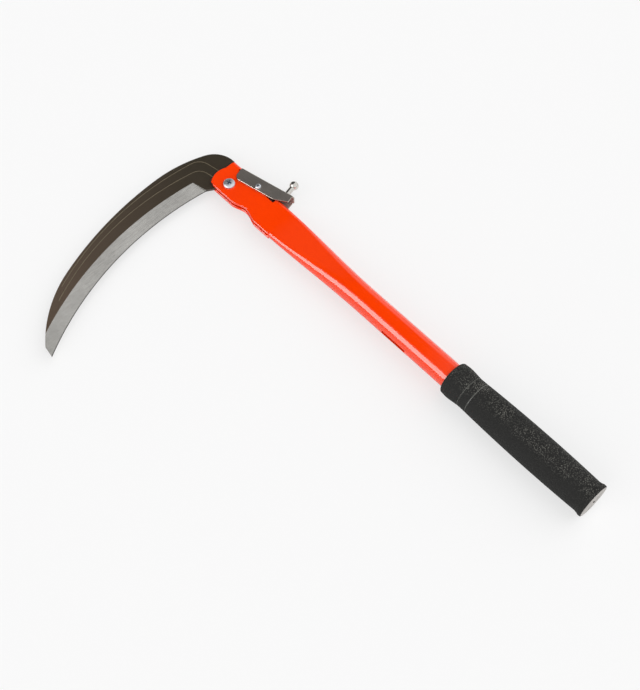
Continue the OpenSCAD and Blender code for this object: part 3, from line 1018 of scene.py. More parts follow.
@dataclass
class HandleTube:
    """The tube: round at the grip, pressed into a folded head, with its taper between them."""

    tube_r: float = 11.0
    wall: float = 2.7
    axis_y: float = 4.4
    head_t: float = 8.4
    head_w: float = 30.0
    head_shift: float = 0.45
    flat_len: float = 58.0
    taper_len: float = 104.0
    taper_hold: float = 1.6
    taper_ease: float = 2.2
    round_flat: float = 0.04
    rear: float = 390.0
    lap: float = 0.15
    skin_in: float = 0.02
    nose_c: Pair = (1.0, 2.0)
    nose_r: float = 17.6
    nose_low: float = 1.2
    chin_x: float = -8.4
    chin_r: float = 2.6
    chin_from: float = 222.0
    chin_turn: float = 48.0
    shoulder: float = 14.8
    scallop_w: float = 30.0
    scallop_depth: float = 3.6
    scallop_at: float = 27.5
    edge: float = 0.85
    slit: Triple = (185.5, 25.0, 3.6)
    slit_edge: float = 0.4
    window_room: Pair = (1.2, 0.8)
    pocket_room: float = 1.2
    pocket_rise: float = 10.0
    window_edge: float = 0.3
    stations: int = 40
    facets: int = 96

    @property
    def head_half(self) -> float:
        """Return half the head's width."""
        return self.head_w / 2

    @property
    def round_half(self) -> float:
        """Return half the round tube's width."""
        return self.tube_r + self.round_flat

    def half_at(self, along: float) -> float:
        """Return half the tube's width at a share of the taper."""
        fall = (1 - along ** self.taper_hold) ** self.taper_ease
        return self.round_half + (self.head_half - self.round_half) * fall

    def ring(self, x: float, half: float, inset: float) -> tuple[float, float, float, float]:
        """Size one ring of a skin.

        Args:
            x: Where it is along the tube.
            half: Half the tube's width there.
            inset: How far the skin lies inside the outer one.

        Returns:
            The ring's place along and across, the shift of its two halves and its radius.
        """
        round_share = (self.head_half - half) / (self.head_half - self.tube_r)
        radius = self.head_t / 2 + round_share * (self.tube_r - self.head_t / 2)
        return x, self.axis_y + self.head_shift * (1 - round_share), half - radius, radius - inset

    def skin(self, mesh: Mesh, inset: float) -> list[list[bmesh.types.BMEdge]]:
        """Loft one skin of the taper and the round tube.

        Args:
            mesh: The mesh to add it to.
            inset: How far it lies inside the outer skin.

        Returns:
            The edges of its first and its last ring.
        """
        shares = [k / self.stations for k in range(1, self.stations + 1)]
        rings = [self.ring(self.flat_len - self.lap, self.head_half, inset),
                 *(self.ring(self.flat_len + self.taper_len * s, self.half_at(s), inset) for s in shares),
                 self.ring(self.rear, self.round_half, inset)]
        x, across, shift, radius = rings[0]
        first = bmesh.ops.create_circle(mesh, cap_ends=False, segments=self.facets,
                                        radius=radius)["verts"]
        bmesh.ops.transform(mesh, matrix=turn(90, "Y") @ turn(360 / self.facets / 2), verts=first)
        for vert in first:
            vert.co = (x, across + vert.co.y + math.copysign(shift, vert.co.y), vert.co.z)
        start = loop = list({e for v in first for e in v.link_edges})
        for (_, old, old_shift, old_radius), (x, across, shift, radius) in zip(rings, rings[1:]):
            made = bmesh.ops.extrude_edge_only(mesh, edges=loop)["geom"]
            verts = set(points_in(made))
            for vert in verts:
                off = vert.co.y - old
                arm = (off - math.copysign(old_shift, off)) * radius / old_radius
                vert.co = (x, across + arm + math.copysign(shift, off),
                           vert.co.z * radius / old_radius)
            loop = [e for e in edges_in(made) if set(e.verts) <= verts]
        return [start, loop]

    def tube(self) -> Mesh:
        """Loft the taper and the round tube.

        Returns:
            The tube with its bore.
        """
        mesh = bmesh.new()
        outer, inner = self.skin(mesh, self.skin_in), self.skin(mesh, self.wall - self.skin_in)
        for outer_ring, inner_ring in zip(outer, inner):
            bmesh.ops.bridge_loops(mesh, edges=outer_ring + inner_ring)
        return outward(mesh)

    def head(self) -> Mesh:
        """Fold the head from its flat blank.

        Returns:
            The head with its rounded edges.
        """
        middle = self.axis_y + self.head_shift
        back, side = middle + self.head_half, middle - self.head_half
        radius = (self.head_t - self.wall) / 2
        fold = Fold(web=0.0, radius=radius, level=back - self.wall / 2, sheet=self.wall)
        top = math.degrees(math.acos((self.shoulder + self.nose_c[0]) / self.nose_r))
        low = math.degrees(math.asin((self.nose_c[1] - side - self.nose_low) / self.nose_r))
        chin = (self.chin_x, side + self.chin_r)
        pen = Pen(self.flat_len, fold.middle).line((-self.shoulder, fold.middle))
        pen.line(polar(self.nose_c, self.nose_r, 180 - top)).arc(self.nose_c, top + low, 34)
        pen.line(polar(chin, self.chin_r, self.chin_from)).arc(chin, self.chin_turn, 6)
        for k in range(self.stations + 1):
            share = k / self.stations
            pen.line((self.scallop_at + (share - 0.5) * self.scallop_w,
                      side + self.scallop_depth * (1 - math.cos(math.tau * share)) / 2))
        pen.line((self.flat_len, side))
        blank = fold.rolled_out(pen.filled(), self.edge, 0.0,
                                lambda a, b: min(a.x, b.x) < self.flat_len - 0.1)
        return fold.bent(blank)

    def build(self) -> None:
        """Join head and tube, cut the openings and finish the piece."""
        lever, spring = LatchLever(), LatchSpring()
        room, deep = self.window_room
        window = box((-lever.front - room, lever.web_in - deep, -self.head_t),
                     (0.0, lever.out, self.head_t), self.window_edge)
        moved(window, Matrix.Translation(LATCH_PIN) @ turn(LATCH_TILT + LOCK_ANGLE))
        half = spring.outer / 2 + self.pocket_room
        pocket = box((spring.at - half, spring.seat, -self.head_t),
                     (spring.at + half, spring.seat + self.pocket_rise, self.head_t), self.window_edge)
        start, length, width = self.slit
        slot = box((start, self.axis_y - 2 * self.tube_r, -width / 2),
                   (start + length, self.axis_y, width / 2), self.slit_edge)
        through = 30
        bores = (rod(PIVOT_BORE_R, -through, through), rod(LATCH_BORE_R, -through, through, LATCH_PIN.xy))
        mesh = worked(self.head(), (Cut.ON, self.tube()),
                      *((Cut.AWAY, tool) for tool in (window, pocket, slot, *bores)))
        stand(mesh, "red_handle_tube", Place.PIVOT, Body.HANDLE, [RED], ["handle_tube"],
              crease=24.0)


@dataclass(frozen=True)
class CutLine:
    """One of the lines cut along the blade: a long arc, then a bend into the head."""

    hub: Pair
    radius: float
    start: float
    end: float
    bend_r: float
    bend: float


@dataclass
class Blade:
    """The curved blade: its back is four arcs, its hollow edge one, and its tang a round."""

    thick: float = 2.4
    tang_r: float = 12.0
    tang_flat: float = 8.6
    tang_turn: float = 112.0
    neck: Pair = (-7.4, -11.4)
    neck_top: float = -6.6
    radii: tuple[float, float, float, float] = (22.8, 120.0, 312.0, 117.6)
    turns: tuple[float, float, float, float] = (67.0, 22.3, 20.9, 33.8)
    steps: tuple[int, int, int, int] = (36, 24, 36, 40)
    back_start: Pair = (-17.0, 19.9)
    tip_cut: float = 9.9
    tip_turn: float = 117.6
    heel: Pair = (-10.8, -17.0)
    edge_r: float = 285.0
    bevel_w: float = 12.4
    land: float = 0.3
    run_out: Pair = (-14.0, -3.0)
    run_out_turn: float = 13.4
    run_out_lean: float = 35.0
    line_w: float = 0.6
    line_depth: float = 0.25
    line_tail: float = 16.0
    lines: tuple[CutLine, CutLine] = (CutLine((218.5, -55.0), 262.2, 169.6, 204.1, 12.0, 69.6),
                                      CutLine((205.8, -64.6), 243.0, 167.8, 206.3, 11.0, 68.3))
    stop_front: float = 15.3
    stop_rear: float = 6.5
    stop_y: float = 16.2
    notch_room: float = 0.3
    notch_flare: float = 0.9
    edge: float = 0.14

    def back(self) -> tuple[list[Pair], float]:
        """Follow the arcs of the back.

        Returns:
            The centres of the arcs and the angle at which the last one ends.
        """
        centres = [(self.back_start[0], self.back_start[1] - self.radii[0])]
        angle = 90 + self.turns[0]
        for last, radius, swing in zip(self.radii, self.radii[1:], self.turns[1:]):
            centres.append(polar(polar(centres[-1], last, angle), -radius, angle))
            angle += swing
        return centres, angle

    def tip(self) -> Vector:
        """Find the blade's point.

        Returns:
            The point, at the end of the cut across the back's last arc.
        """
        centres, angle = self.back()
        end = polar(centres[-1], self.radii[-1], angle)
        return Vector(polar(end, self.tip_cut, angle + self.tip_turn))

    def edge_centre(self) -> Vector:
        """Find the centre of the hollow edge.

        Returns:
            The centre, as far from the heel as from the point.
        """
        heel = Vector(self.heel)
        half = (self.tip() - heel) / 2
        across = Vector((-half.y, half.x)).normalized()
        return heel + half + across * math.sqrt(self.edge_r ** 2 - half.length_squared)

    def outline(self) -> Mesh:
        """Draw the blade's plate.

        Returns:
            The plate with lightly rounded edges.
        """
        pen = Pen(-self.stop_front, self.stop_y).line((-self.stop_front, self.back_start[1]))
        pen.line(self.back_start)
        for centre, swing, steps in zip(self.back()[0], self.turns, self.steps):
            pen.arc(centre, swing, steps)
        hub, tip = self.edge_centre(), self.tip()
        swing = (tip - hub).angle_signed(Vector(self.heel) - hub)
        pen.line(tuple(tip)).arc(hub, -math.degrees(swing), 90)
        flat = math.degrees(math.asin(self.tang_flat / self.tang_r))
        pen.line(self.neck, (self.neck_top, -self.tang_flat), polar((0, 0), self.tang_r, -flat))
        pen.arc((0, 0), flat + self.tang_turn, 54).line((-self.stop_rear, self.stop_y))
        mesh = pen.prism(-self.thick / 2, self.thick / 2)
        soften(mesh, edges_over(mesh, 60.0, is_rim), self.edge, 2)
        return mesh

    def grinding(self) -> Mesh:
        """Make the tool for the bevel: a shallow cone about the edge's centre, run out at the heel.

        Returns:
            The tool.
        """
        rise, half, past = self.thick - self.land, self.thick / 2, 1
        hub, foot = self.edge_centre(), self.edge_r + 0.05
        top = foot + self.bevel_w / rise * (rise + past)
        cone = rod(foot, -half + self.land, half + past, tuple(hub), top, 900)
        facing = turn(self.run_out_turn) @ turn(self.run_out_lean, "X")
        made = bmesh.ops.bisect_plane(
            cone, geom=everything(cone), dist=1e-5,
            plane_co=(self.heel[0] + self.run_out[0], self.heel[1] + self.run_out[1], half),
            plane_no=facing.to_3x3() @ Vector((0, 1, 0)), clear_outer=True)
        bmesh.ops.edgeloop_fill(cone, edges=edges_in(made["geom_cut"]))
        return tagged(cone, 1)

    def groove(self, line: CutLine) -> Mesh:
        """Make the tool for one of the lines cut along the blade.

        Args:
            line: The line.

        Returns:
            The tool.
        """
        half, span = self.line_w / 2, line.end - line.start
        corner = polar(polar(line.hub, line.radius, line.start), -line.bend_r, line.start)
        inner = line.start - line.bend
        way = Vector(polar((0, 0), self.line_tail, inner - 90))

        def beside(offset: float) -> Pair:
            """Return the line's end under the head, to one side of its middle."""
            return tuple(Vector(polar(corner, line.bend_r + offset, inner)) + way)

        pen = Pen(*beside(half)).line(polar(corner, line.bend_r + half, inner))
        pen.arc(corner, line.bend, 14).arc(line.hub, span, 60)
        pen.line(polar(line.hub, line.radius - half, line.end)).arc(line.hub, -span, 60)
        pen.arc(corner, -line.bend, 14).line(beside(-half))
        top = self.thick / 2
        return tagged(pen.prism(top - self.line_depth, top + 1), 2)

    def notch(self, fold: float) -> Mesh:
        """Make the tool for one of the lever's notches in the tang.

        Args:
            fold: How far the blade is folded when the tooth drops into it.

        Returns:
            The tool.
        """
        lever = LatchLever()
        foot = lever.point(-lever.front + lever.sheet / 2, lever.tooth_end, LOCK_ANGLE)
        depth, root = foot.length - self.notch_room, lever.sheet / 2 + self.notch_room
        rim, mouth = self.tang_r + 2, root + self.notch_flare
        pen = Pen(depth, -root).line((rim, -mouth), (rim, mouth), (depth, root))
        angle = math.degrees(math.atan2(foot.y, foot.x))
        return moved(pen.prism(-self.thick, self.thick), turn(angle - fold))

    def build(self) -> None:
        """Cut the bevel, the lines, the bore and the notches, and finish the piece."""
        through = 9
        tools = [self.grinding(), *(self.groove(line) for line in self.lines),
                 rod(PIVOT_BORE_R, -through, through), self.notch(0.0), self.notch(FOLD_ANGLE)]
        mesh = worked(self.outline(), *[(Cut.AWAY, tool) for tool in tools])
        hub = Place.PIVOT.matrix @ self.edge_centre().to_3d()
        ground = GroundSteel(hub=tuple(hub), edge_r=self.edge_r * MM)
        stand(mesh, "curved_blade", Place.PIVOT, Body.BLADE, [DARK, ground, CUT_LINE],
              ["blade"], crease=7.0)


@dataclass
class LatchLever:
    """The bent channel over the back of the head, with its locking tooth."""

    sheet: float = 1.2
    gap: float = 0.3
    head_r: float = 4.2
    front: float = 22.4
    rear: float = 29.0
    out: float = 9.0
    low: float = 3.2
    corner: float = 5.0
    bend_r: float = 1.8
    lip: float = 1.4
    sweep: Triple = (15.5, 10.0, 22.0)
    tooth_w: float = 2.4
    tooth_lift: float = 0.3
    tooth_lap: float = 0.3
    tang_r: float = 12.0
    knob_at: float = 21.8
    knob_hole: float = 1.8
    edge: float = 0.3
    corner_edge: float = 0.5

    @property
    def web_in(self) -> float:
        """Return the level of the web's inner face."""
        return self.out - self.sheet

    @property
    def cheek_out(self) -> float:
        """Return how far the cheeks' outer faces stand from the middle."""
        return self.head_r + self.gap + self.sheet

    def point(self, x: float, y: float, rock: float = 0.0) -> Vector:
        """Return a point of the lever as seen from the pivot, with the lever turned."""
        return LATCH_PIN.xy + (turn(LATCH_TILT + rock) @ Vector((x, y, 0))).xy

    @property
    def tooth_end(self) -> float:
        """Find how far in the tooth reaches.

        Returns:
            The level of its end, just clear of the tang's rim.
        """
        middle = self.point(-self.front + self.sheet / 2, 0.0)
        way = (turn(LATCH_TILT) @ Vector((0, 1, 0))).xy
        reach = self.tang_r + self.tooth_lift
        return -middle @ way + math.sqrt((middle @ way) ** 2 - middle @ middle + reach ** 2)

    def build(self) -> None:
        """Bend the sheet, add the tooth, drill it and finish the piece."""
        fold = Fold(web=self.cheek_out - self.bend_r, radius=self.bend_r - self.sheet / 2,
                    level=self.out - self.sheet / 2, sheet=self.sheet, steps=8)
        start, radius, swing = self.sweep
        hub = (start, radius - self.low)
        end = polar(hub, radius, 270 + swing)
        rise = (self.rear - end[0]) * math.tan(math.radians(swing))
        shoulder = fold.middle - fold.web
        pen = Pen(-self.front, fold.middle).line((-self.front, self.corner - self.low))
        pen.arc((-self.front + self.corner, self.corner - self.low), 90, 12)
        pen.line((start, -self.low)).arc(hub, swing, 6).line((self.rear, end[1] + rise))
        pen.line((self.rear, shoulder), (self.rear + self.lip, shoulder),
                 (self.rear + self.lip, fold.middle))
        blank = fold.rolled_out(pen.filled(), self.edge, self.corner_edge, lambda a, b: True)
        # The cut edges take the painted highlight, and the inner faces the painted reflection.
        for face in blank.faces:
            face.material_index = 2 if face.normal.z < -0.99 else int(face.normal.z < 0.99)
        tooth = box((-self.front, self.tooth_end, -self.tooth_w / 2),
                    (-self.front + self.sheet, self.web_in + self.tooth_lap, self.tooth_w / 2), 0.2)
        through = 20
        hole = moved(rod(self.knob_hole, 0, through),
                     Matrix.Translation((self.knob_at, 0, 0)) @ turn(-90, "X"))
        mesh = worked(fold.bent(blank), (Cut.ON, tooth),
                      (Cut.AWAY, rod(LATCH_BORE_R, -through, through)), (Cut.AWAY, hole))
        stand(mesh, "steel_latch_lever", Place.LATCH, Body.LATCH, [LEVER, PAINTED_HIGHLIGHT_RIM, PAINTED_REFLECTION_INSIDE],
              ["latch_lever"], crease=26.0)


@dataclass
class PanScrew:
    """A pan-headed screw with a cross recess, standing through the head of the sickle.

    The sizes from dome to point are shares of the head's or the shank's own.
    """

    name: str
    node: str
    place: Place
    shank_d: float
    head_d: float
    head_h: float
    top: float
    foot: float
    turned: float = 20.0
    dome: float = 0.6
    crown: float = 0.12
    wing_reach: float = 0.29
    wing_half: float = 0.072
    wing_foot: float = 0.25
    pitch: float = 0.16
    root: float = 0.84
    point: float = 0.7
    threads: int = 8

    def head(self) -> Mesh:
        """Turn the domed head and cut its recess.

        Returns:
            The head, standing on 0.
        """
        radius, dome, brim = self.head_d / 2, self.head_h * self.dome, 0.25
        rim, crown, steps = self.head_h - dome, radius * self.crown, 12
        pen = Pen(0, 0).line((radius - brim, 0), (radius, brim), (radius, rim))
        for k in range(1, steps + 1):
            angle = math.radians(90 / steps * k)
            pen.line((crown + (radius - crown) * math.cos(angle), rim + dome * math.sin(angle)))
        pen.line((0, self.head_h))
        reach, half = self.head_d * self.wing_reach, self.head_d * self.wing_half
        wings = []
        for angle in (self.turned, self.turned + 90):
            wing = box((-reach, -half, self.head_h * self.wing_foot), (reach, half, self.head_h + 1))
            deep = [v for v in wing.verts if v.co.z < self.head_h / 2]
            bmesh.ops.scale(wing, vec=(0.4, 0.7, 1.0), verts=deep)
            # The recess faces take the dark painted shade finish.
            wings.append((Cut.AWAY, tagged(moved(wing, turn(angle)), 1)))
        return worked(pen.lathed(72), *wings)

    def shank(self) -> Mesh:
        """Turn the shank.

        Returns:
            The shank, with thread rings along its last stretch.
        """
        radius, pitch = self.shank_d / 2, self.shank_d * self.pitch
        root, top, run_out = radius * self.root, self.top + 0.4, 0.3
        pen = Pen(0, self.foot).line((radius * self.point, self.foot))
        for k in range(self.threads):
            level = self.foot + run_out + pitch * k
            pen.line((root, level), (radius, level + pitch / 2))
        level = self.foot + run_out + pitch * self.threads
        pen.line((root, level), (radius, level + run_out), (radius, top), (0, top))
        return pen.lathed(32)

    def build(self) -> None:
        """Join head and shank and finish the piece."""
        head = moved(self.head(), Matrix.Translation((0, 0, self.top)))
        mesh = worked(head, (Cut.ON, self.shank()))
        stand(mesh, self.name, self.place, Body.HANDLE, [ZINC, PAINTED_SHADE_RECESS], [self.node], crease=30.0)


@dataclass
class LockNut:
    """A hexagon lock nut with its rounded collar, hanging below its seat.

    The sizes after seat are shares of the height or of the width over the flats.
    """

    name: str
    node: str
    place: Place
    flats: float
    height: float
    bore: float
    seat: float
    hexagon: float = 0.7
    corner: float = 0.03
    collar: float = 0.46
    collar_lip: float = 0.09
    insert_edge: float = 0.07

    def build(self) -> None:
        """Round the hexagon's corners, join the collar, drill it and finish the piece."""
        share, half, foot = self.height * self.hexagon, self.flats / 2, -self.height
        corner, collar_r = self.flats * self.corner, self.flats * self.collar
        nut = moved(rod(half / math.cos(math.pi / 6), -share, 0, steps=6), turn(30))
        soften(nut, edges_over(nut, 40.0, lambda a, b: not is_rim(a, b)), corner, 2)
        low, past, lap, through = -share - corner, 0.5, 0.2, 20
        cone = rod(half, low, past, top_radius=half + past - low)
        pen = Pen(0, foot).line((collar_r - self.flats * self.collar_lip, foot), (collar_r - 0.25, foot),
                                (collar_r, foot + 0.3), (collar_r, -share + lap), (0, -share + lap))
        recess = rod(collar_r - self.flats * self.insert_edge, foot - 1, -share)
        mesh = worked(nut, (Cut.WITHIN, cone), (Cut.ON, pen.lathed(48)),
                      (Cut.AWAY, rod(self.bore / 2, -through, through)), (Cut.AWAY, recess))
        moved(mesh, Matrix.Translation((0, 0, self.seat)))
        stand(mesh, self.name, self.place, Body.HANDLE, [ZINC], [self.node], crease=30.0)


@dataclass
class ThumbKnob:
    """The turned ball on its shank, riveted in the lever's web."""

    ball_r: float = 4.0
    ball_flat: float = 0.94
    shank_r: float = 2.4
    tail_in: float = 0.6
    rivet_h: float = 0.8
    rivet_out: float = 0.5
    foot_out: float = 0.5
    foot_h: float = 0.7
    reach: float = 11.8
    at: float = 21.8
    web: float = 9.0
    sheet: float = 1.2
    lap: float = 0.02

    def build(self) -> None:
        """Turn the knob and finish the piece."""
        tail, rivet = self.shank_r - self.tail_in, self.shank_r - self.tail_in + self.rivet_out
        foot, end = self.shank_r + self.foot_out, -self.sheet - self.rivet_h
        pen = Pen(0, end).line(
            (rivet - 0.25, end), (rivet, end + 0.35), (rivet, -self.sheet - self.lap),
            (tail - self.lap, -self.sheet - self.lap), (tail - self.lap, self.lap), (foot - 0.05, self.lap),
            (foot, 0.1), (foot, self.foot_h), (foot - 0.15, self.foot_h + 0.25), (self.shank_r, 1.3))
        low, steps = -90 + math.degrees(math.asin(self.shank_r / self.ball_r)), 24
        for k in range(steps + 1):
            x, y = polar((0, 0), self.ball_r, low + (90 - low) * k / steps)
            pen.line((max(0.0, x), self.reach + y * self.ball_flat))
        mesh = moved(pen.lathed(64), Matrix.Translation((self.at, self.web, 0)) @ turn(-90, "X"))
        stand(mesh, "nickel_thumb_knob", Place.LATCH, Body.LATCH, [NICKEL], ["thumb_knob"],
              crease=40.0)


@dataclass
class LatchSpring:
    """The small coil spring between the head's pocket and the lever's web."""

    outer: float = 6.8
    wire: float = 0.9
    turns: int = 6
    at: float = 34.4
    seat: float = 13.5
    clear: float = 0.05
    rivet: float = 2.3
    rivet_gap: float = 0.3
    end_gap: float = 0.1
    hold: float = 1.0
    steps: int = 24

    def head_point(self) -> Vector:
        """Find the middle of the last turn.

        Returns:
            The point, under the lever's web.
        """
        lever = LatchLever()
        x = lever.knob_at - self.rivet - self.rivet_gap - self.outer / 2
        return lever.point(x, lever.web_in - self.wire / 2 - self.clear)

    def build(self) -> None:
        """Spin the wire up in three stretches, lean it to the lever and finish the piece."""
        foot = Vector((self.at, self.seat + self.wire / 2 + self.clear))
        rise = self.head_point() - foot
        close, free = self.wire + self.end_gap, self.turns - 2
        mesh = bmesh.new()
        bmesh.ops.create_circle(mesh, cap_ends=True, segments=12, radius=self.wire / 2)
        moved(mesh, Matrix.Translation(((self.outer - self.wire) / 2, 0, 0)) @ turn(90, "X"))
        geometry = everything(mesh)
        for count, pitch in ((1, close), (free, (rise.length - 2 * close) / free), (1, close)):
            geometry = spun(mesh, geometry, 360 * count, self.steps * count, rise=pitch / self.steps)
        lean = math.tan(math.radians(LATCH_TILT)) / rise.length
        for vert in mesh.verts:
            x, y, z = vert.co
            share = min(1.0, max(0.0, z / rise.length))
            vert.co = (foot.x + x + rise.x * share, foot.y + z * rise.y / rise.length + x * z * lean, y)
        piece = stand(mesh, "latch_coil_spring", Place.PIVOT, Body.HANDLE, [PAINTED_SHADE_WIRE],
                      ["latch_spring"], crease=50.0)
        piece.parent = None
        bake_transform(piece)


@dataclass
class GripSleeve:
    """The moulded rubber sleeve: lip, barrel, two ring grooves, neck and collar."""

    length: float = 143.0
    full_r: float = 15.0
    full_at: float = 58.0
    fall: float = 0.00033
    lip_r: float = 15.0
    lip_round: float = 1.0
    lip_fall: tuple[Pair, ...] = ((0.0, 2.6), (0.12, 3.1), (0.4, 3.6))
    lip_foot: tuple[Pair, ...] = ((0.25, 4.6), (0.1, 5.4))
    barrel_from: float = 6.5
    neck_len: float = 21.0
    collar_r: float = 14.7
    collar_len: float = 3.4
    collar_edge: float = 0.4
    bore_r: float = 11.05
    bore_edge: float = 0.3
    butt: float = 4.0
    grooves: Pair = (116.6, 124.5)
    groove_w: float = 0.6
    groove_depth: float = 0.45
    groove_edge: Pair = (0.02, 0.05)
    groove_lean: float = 0.08
    nub_r: float = 0.75
    nub_h: float = 0.5

    def barrel(self, x: float) -> float:
        """Return the barrel's radius at a distance from the butt."""
        return self.full_r - self.fall * (x - self.full_at) ** 2

    def profile(self, neck: float, end: float) -> list[Pair]:
        """Follow the barrel, its grooves and the neck.

        A station of the neck falls inside the front groove, and the profile comes up there for a hair,
        so that this groove shows as two fine rings.

        Args:
            neck: Where the neck starts.
            end: Where it has reached the collar.

        Returns:
            The profile's points, as radius and distance from the butt.
        """
        first, out, beside = self.barrel_from, *self.groove_edge
        cuts = {x for groove in self.grooves for x in (groove, groove + self.groove_w)}
        barrel = {first + (neck - first) * k / 30 for k in range(31)}
        points = []
        for x in sorted(barrel | cuts | {neck + (end - neck) * k / 16 for k in range(1, 17)}):
            radius = self.barrel(x)
            if x > neck:
                share = (1 - math.cos(math.pi * (x - neck) / (end - neck))) / 2
                radius = self.barrel(neck) + (self.collar_r - self.barrel(neck)) * share
            sunk = radius - self.groove_depth
            if x in self.grooves:
                points += [(radius - out, x - beside), (sunk, x + self.groove_lean)]
            elif x in cuts or any(g < x < g + self.groove_w for g in self.grooves):
                points += [(sunk, x - self.groove_lean), (radius - out, x + beside)]
            else:
                points.append((radius, x))
        return points

    def build(self) -> None:
        """Turn the sleeve with its grooves and finish the piece."""
        neck = self.length - self.neck_len
        round_r = self.collar_r - self.bore_r - self.collar_edge
        nub, lip, foot = self.nub_r, self.lip_r - self.lip_round, self.barrel(self.barrel_from)
        pen = Pen(0, -self.nub_h).line((nub - 0.2, -self.nub_h), (nub, 0.2 - self.nub_h), (nub, 0),
                                       (lip - 0.2, 0), (lip, 0))
        pen.arc((lip, self.lip_round), 90, 8)
        pen.line(*((self.lip_r - inwards, x) for inwards, x in self.lip_fall))
        pen.line(*((foot + outwards, x) for outwards, x in self.lip_foot))
        pen.line(*self.profile(neck, self.length - round_r - self.collar_len))
        hub = (self.collar_r - round_r, self.length - round_r)
        pen.line(polar(hub, round_r, 30)).arc(hub, 60, 10)
        pen.line((self.bore_r + self.bore_edge, self.length), (self.bore_r, self.length - self.bore_edge),
                 (self.bore_r, self.butt), (0, self.butt))
        mesh = pen.lathed(128)
        # The butt's faces take the butt finish, and the grooves' faces the lighter groove finish, a painted
        # highlight.
        for face in mesh.faces:
            middle = face.calc_center_median()
            if middle.z < 0.01 and middle.xy.length > nub + 0.1:
                face.material_index = 1
            elif middle.xy.length > self.bore_r + 1 and any(g < middle.z < g + self.groove_w
                                                            for g in self.grooves):
                face.material_index = 2
        moved(mesh, turn(90, "Y"))
        stand(mesh, "rubber_grip_sleeve", Place.HANDLE, Body.HANDLE,
              [RUBBER, BUTT, PAINTED_HIGHLIGHT_GROOVE], ["grip_sleeve"], crease=38.0)


@dataclass
class SmallSolids:
    """The small CAD pieces whose shape is right as it is."""

    washers: tuple[str, ...] = ("tang_washer_upper", "tang_washer_lower", "nut_washer")
    inserts: tuple[str, ...] = ("pivot_nut_insert", "latch_nut_insert")

    def build(self) -> None:
        """Give each of them its finish."""
        for node in self.washers + self.inserts:
            finish = NYLON if node in self.inserts else ZINC
            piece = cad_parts[node]
            piece.data.materials.clear()
            piece.data.materials.append(finish.material())
            log.info("%s: CAD shape, %s", node, finish.name)


# Studio


def aimed(thing: bpy.types.Object, place: Sequence[float], way: Sequence[float]) -> bpy.types.Object:
    """Put a lamp or a camera in its place.

    Args:
        thing: The lamp or camera.
        place: Where it stands.
        way: Where it looks.

    Returns:
        The lamp or camera.
    """
    thing.location = place
    thing.rotation_mode = "QUATERNION"
    thing.rotation_quaternion = Vector(way).to_track_quat("-Z", "Y")
    return thing


def grey(tone: float) -> Colour:
    """Return a grey."""
    return tone, tone, tone


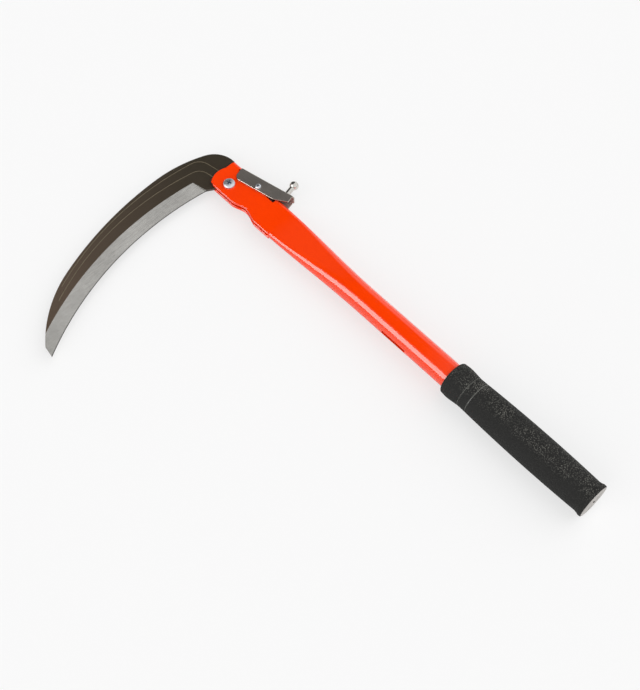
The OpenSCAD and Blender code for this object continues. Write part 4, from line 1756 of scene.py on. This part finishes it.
@dataclass
class Studio:
    """The floor, the light tent, the lamps and the camera."""

    azimuth: float = 226.0
    elevation: float = 62.0
    target: Triple = (0.2336, 0.0540, 0.0)
    distance: float = 1.0073
    lens: float = 67.15
    sensor: float = 36.0
    clip: Pair = (0.01, 50.0)
    collar_at: Triple = (0.139, 0.0, -0.01475)
    screw_at: Triple = (0.394, 0.0, -0.01105)
    floor_half: float = 6.0
    floor_white: float = 0.93
    clean: float = 0.7
    clean_gloss: float = 0.15
    wall: float = 1.0
    roof: float = 0.9
    roof_half: float = 50.0
    roof_lean: float = 7.0
    roof_fade: Pair = (0.1, 0.06)
    flag: float = 0.0
    flag_from: Pair = (0.2, 0.28)
    gap: float = 0.25
    gap_top: Pair = (0.08, 0.12)
    card: float = 0.1
    card_from: Pair = (0.42, 0.5)
    suns: tuple[tuple[str, float, float, Triple], ...] = (
        ("soft key", 1.2, 70.0, (0.25, 0.75, -1.0)), ("soft fill", 0.85, 60.0, (-0.1, -1.0, -0.45)))
    box_at: Triple = (0.82, 1.15, 0.512)
    box_size: Pair = (0.75, 0.82)
    box_power: float = 11.45

    def camera(self) -> None:
        """Set the camera at the photograph's angle."""
        data = bpy.data.cameras.new("camera")
        data.lens, data.sensor_width = self.lens, self.sensor
        data.clip_start, data.clip_end = self.clip
        a, e = math.radians(self.azimuth), math.radians(self.elevation)
        back = Vector((math.sin(a) * math.cos(e), -math.cos(a) * math.cos(e), math.sin(e)))
        place = Vector(self.target) + back * self.distance
        bpy.context.scene.camera = aimed(linked("camera", data), place, -back)

    def floor(self) -> None:
        """Lay the pale floor under the collar and the pivot screw, on which the sickle rests."""
        mesh = bmesh.new()
        bmesh.ops.create_grid(mesh, x_segments=1, y_segments=1, size=self.floor_half)
        rest = Vector(self.collar_at)
        way = Vector(self.screw_at) - rest
        moved(mesh, Matrix.Translation(rest) @ turn(-math.degrees(math.atan2(way.z, way.x)), "Y"))
        data = settled(mesh, "floor")
        material = bpy.data.materials.new("Floor")
        material.use_nodes = True
        sketch = Sketch(material.node_tree)
        shader, white = sketch.tree.nodes["Principled BSDF"], grey(self.floor_white)
        for name, value in {"Base Color": white, "Roughness": 1.0, "Specular IOR Level": 0.0}.items():
            sketch.give(shader.inputs[name], value)
        path = sketch.add("ShaderNodeLightPath").outputs
        gloss = sketch.maths("MAXIMUM", path["Is Glossy Ray"], path["Is Transmission Ray"])
        seen = sketch.maths("MAXIMUM", sketch.maths("MULTIPLY", path["Is Camera Ray"], self.clean),
                            sketch.maths("MULTIPLY", gloss, self.clean_gloss))
        plain = sketch.add("ShaderNodeEmission", {"Color": white})
        mixed = sketch.add("ShaderNodeMixShader", {0: seen, 1: shader.outputs[0], 2: plain.outputs[0]})
        sketch.give(sketch.tree.nodes["Material Output"].inputs["Surface"], mixed.outputs[0])
        data.materials.append(material)
        floor = linked("floor", data)

    def tent(self) -> None:
        """Make the world: white walls all round, and a roof that is dark where the flats look."""
        world = bpy.data.worlds.new("tent")
        bpy.context.scene.world = world
        world.use_nodes = True
        sketch = Sketch(world.node_tree)
        way = sketch.add("ShaderNodeTexCoord").outputs["Generated"]
        lean, edge = math.radians(self.roof_lean), math.cos(math.radians(self.roof_half))
        height = sketch.vectors("DOT_PRODUCT", way, (0.0, -math.sin(lean), math.cos(lean)))
        roof = sketch.span(height, edge - self.roof_fade[0], edge + self.roof_fade[1])
        split = sketch.add("ShaderNodeSeparateXYZ", {0: way}).outputs
        flagged = sketch.blend(sketch.span(split["X"], *self.flag_from), grey(self.roof), grey(self.flag))
        walls = sketch.blend(sketch.span(split["Z"], *self.gap_top), grey(self.gap), grey(self.wall))
        tone = sketch.blend(roof, walls, flagged)
        tone = sketch.blend(sketch.span(split["X"], *self.card_from), tone, grey(self.card))
        path = sketch.add("ShaderNodeLightPath").outputs
        seen = sketch.blend(path["Is Camera Ray"], tone, grey(self.floor_white))
        sketch.give(sketch.tree.nodes["Background"].inputs["Color"], seen)

    def lamps(self) -> None:
        """Hang a soft key, a fill from the blade side and a soft box that only the gloss shows."""
        for name, energy, spread, way in self.suns:
            sun = bpy.data.lights.new(name, "SUN")
            sun.energy, sun.angle = energy, math.radians(spread)
            aimed(linked(name, sun), (0.0, 0.0, 1.0), way).visible_glossy = False
        strip = bpy.data.lights.new("soft box", "AREA")
        strip.shape, strip.energy = "RECTANGLE", self.box_power
        strip.size, strip.size_y = self.box_size
        way = (0.0, -self.box_at[1], -self.box_at[2])
        aimed(linked("soft box", strip), self.box_at, way).visible_diffuse = False

    def build(self) -> None:
        """Set up the whole studio."""
        bpy.context.scene.view_settings.view_transform = "Standard"
        self.camera()
        self.floor()
        self.tent()
        self.lamps()


def main() -> None:
    """Build the studio, then the sickle's pieces in order."""
    logging.basicConfig(level=logging.INFO, format="%(name)s: %(message)s")
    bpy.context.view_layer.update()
    for part in (
            Studio(), HandleTube(), Blade(), LatchLever(), ThumbKnob(), LatchSpring(),
            PanScrew("pivot_pan_screw", "pivot_screw", Place.PIVOT, 5.0, 10.0, 2.8, 4.2, -11.0),
            PanScrew("latch_pan_screw", "latch_screw", Place.LATCH, 3.0, 5.0, 2.1, 5.75, -10.35),
            LockNut("pivot_lock_nut", "pivot_nut", Place.PIVOT, 8.0, 4.8, 5.1, -5.2),
            LockNut("latch_lock_nut", "latch_nut", Place.LATCH, 5.5, 4.0, 3.1, -5.75),
            GripSleeve(), SmallSolids()):
        part.build()


if __name__ == "__main__":
    main()
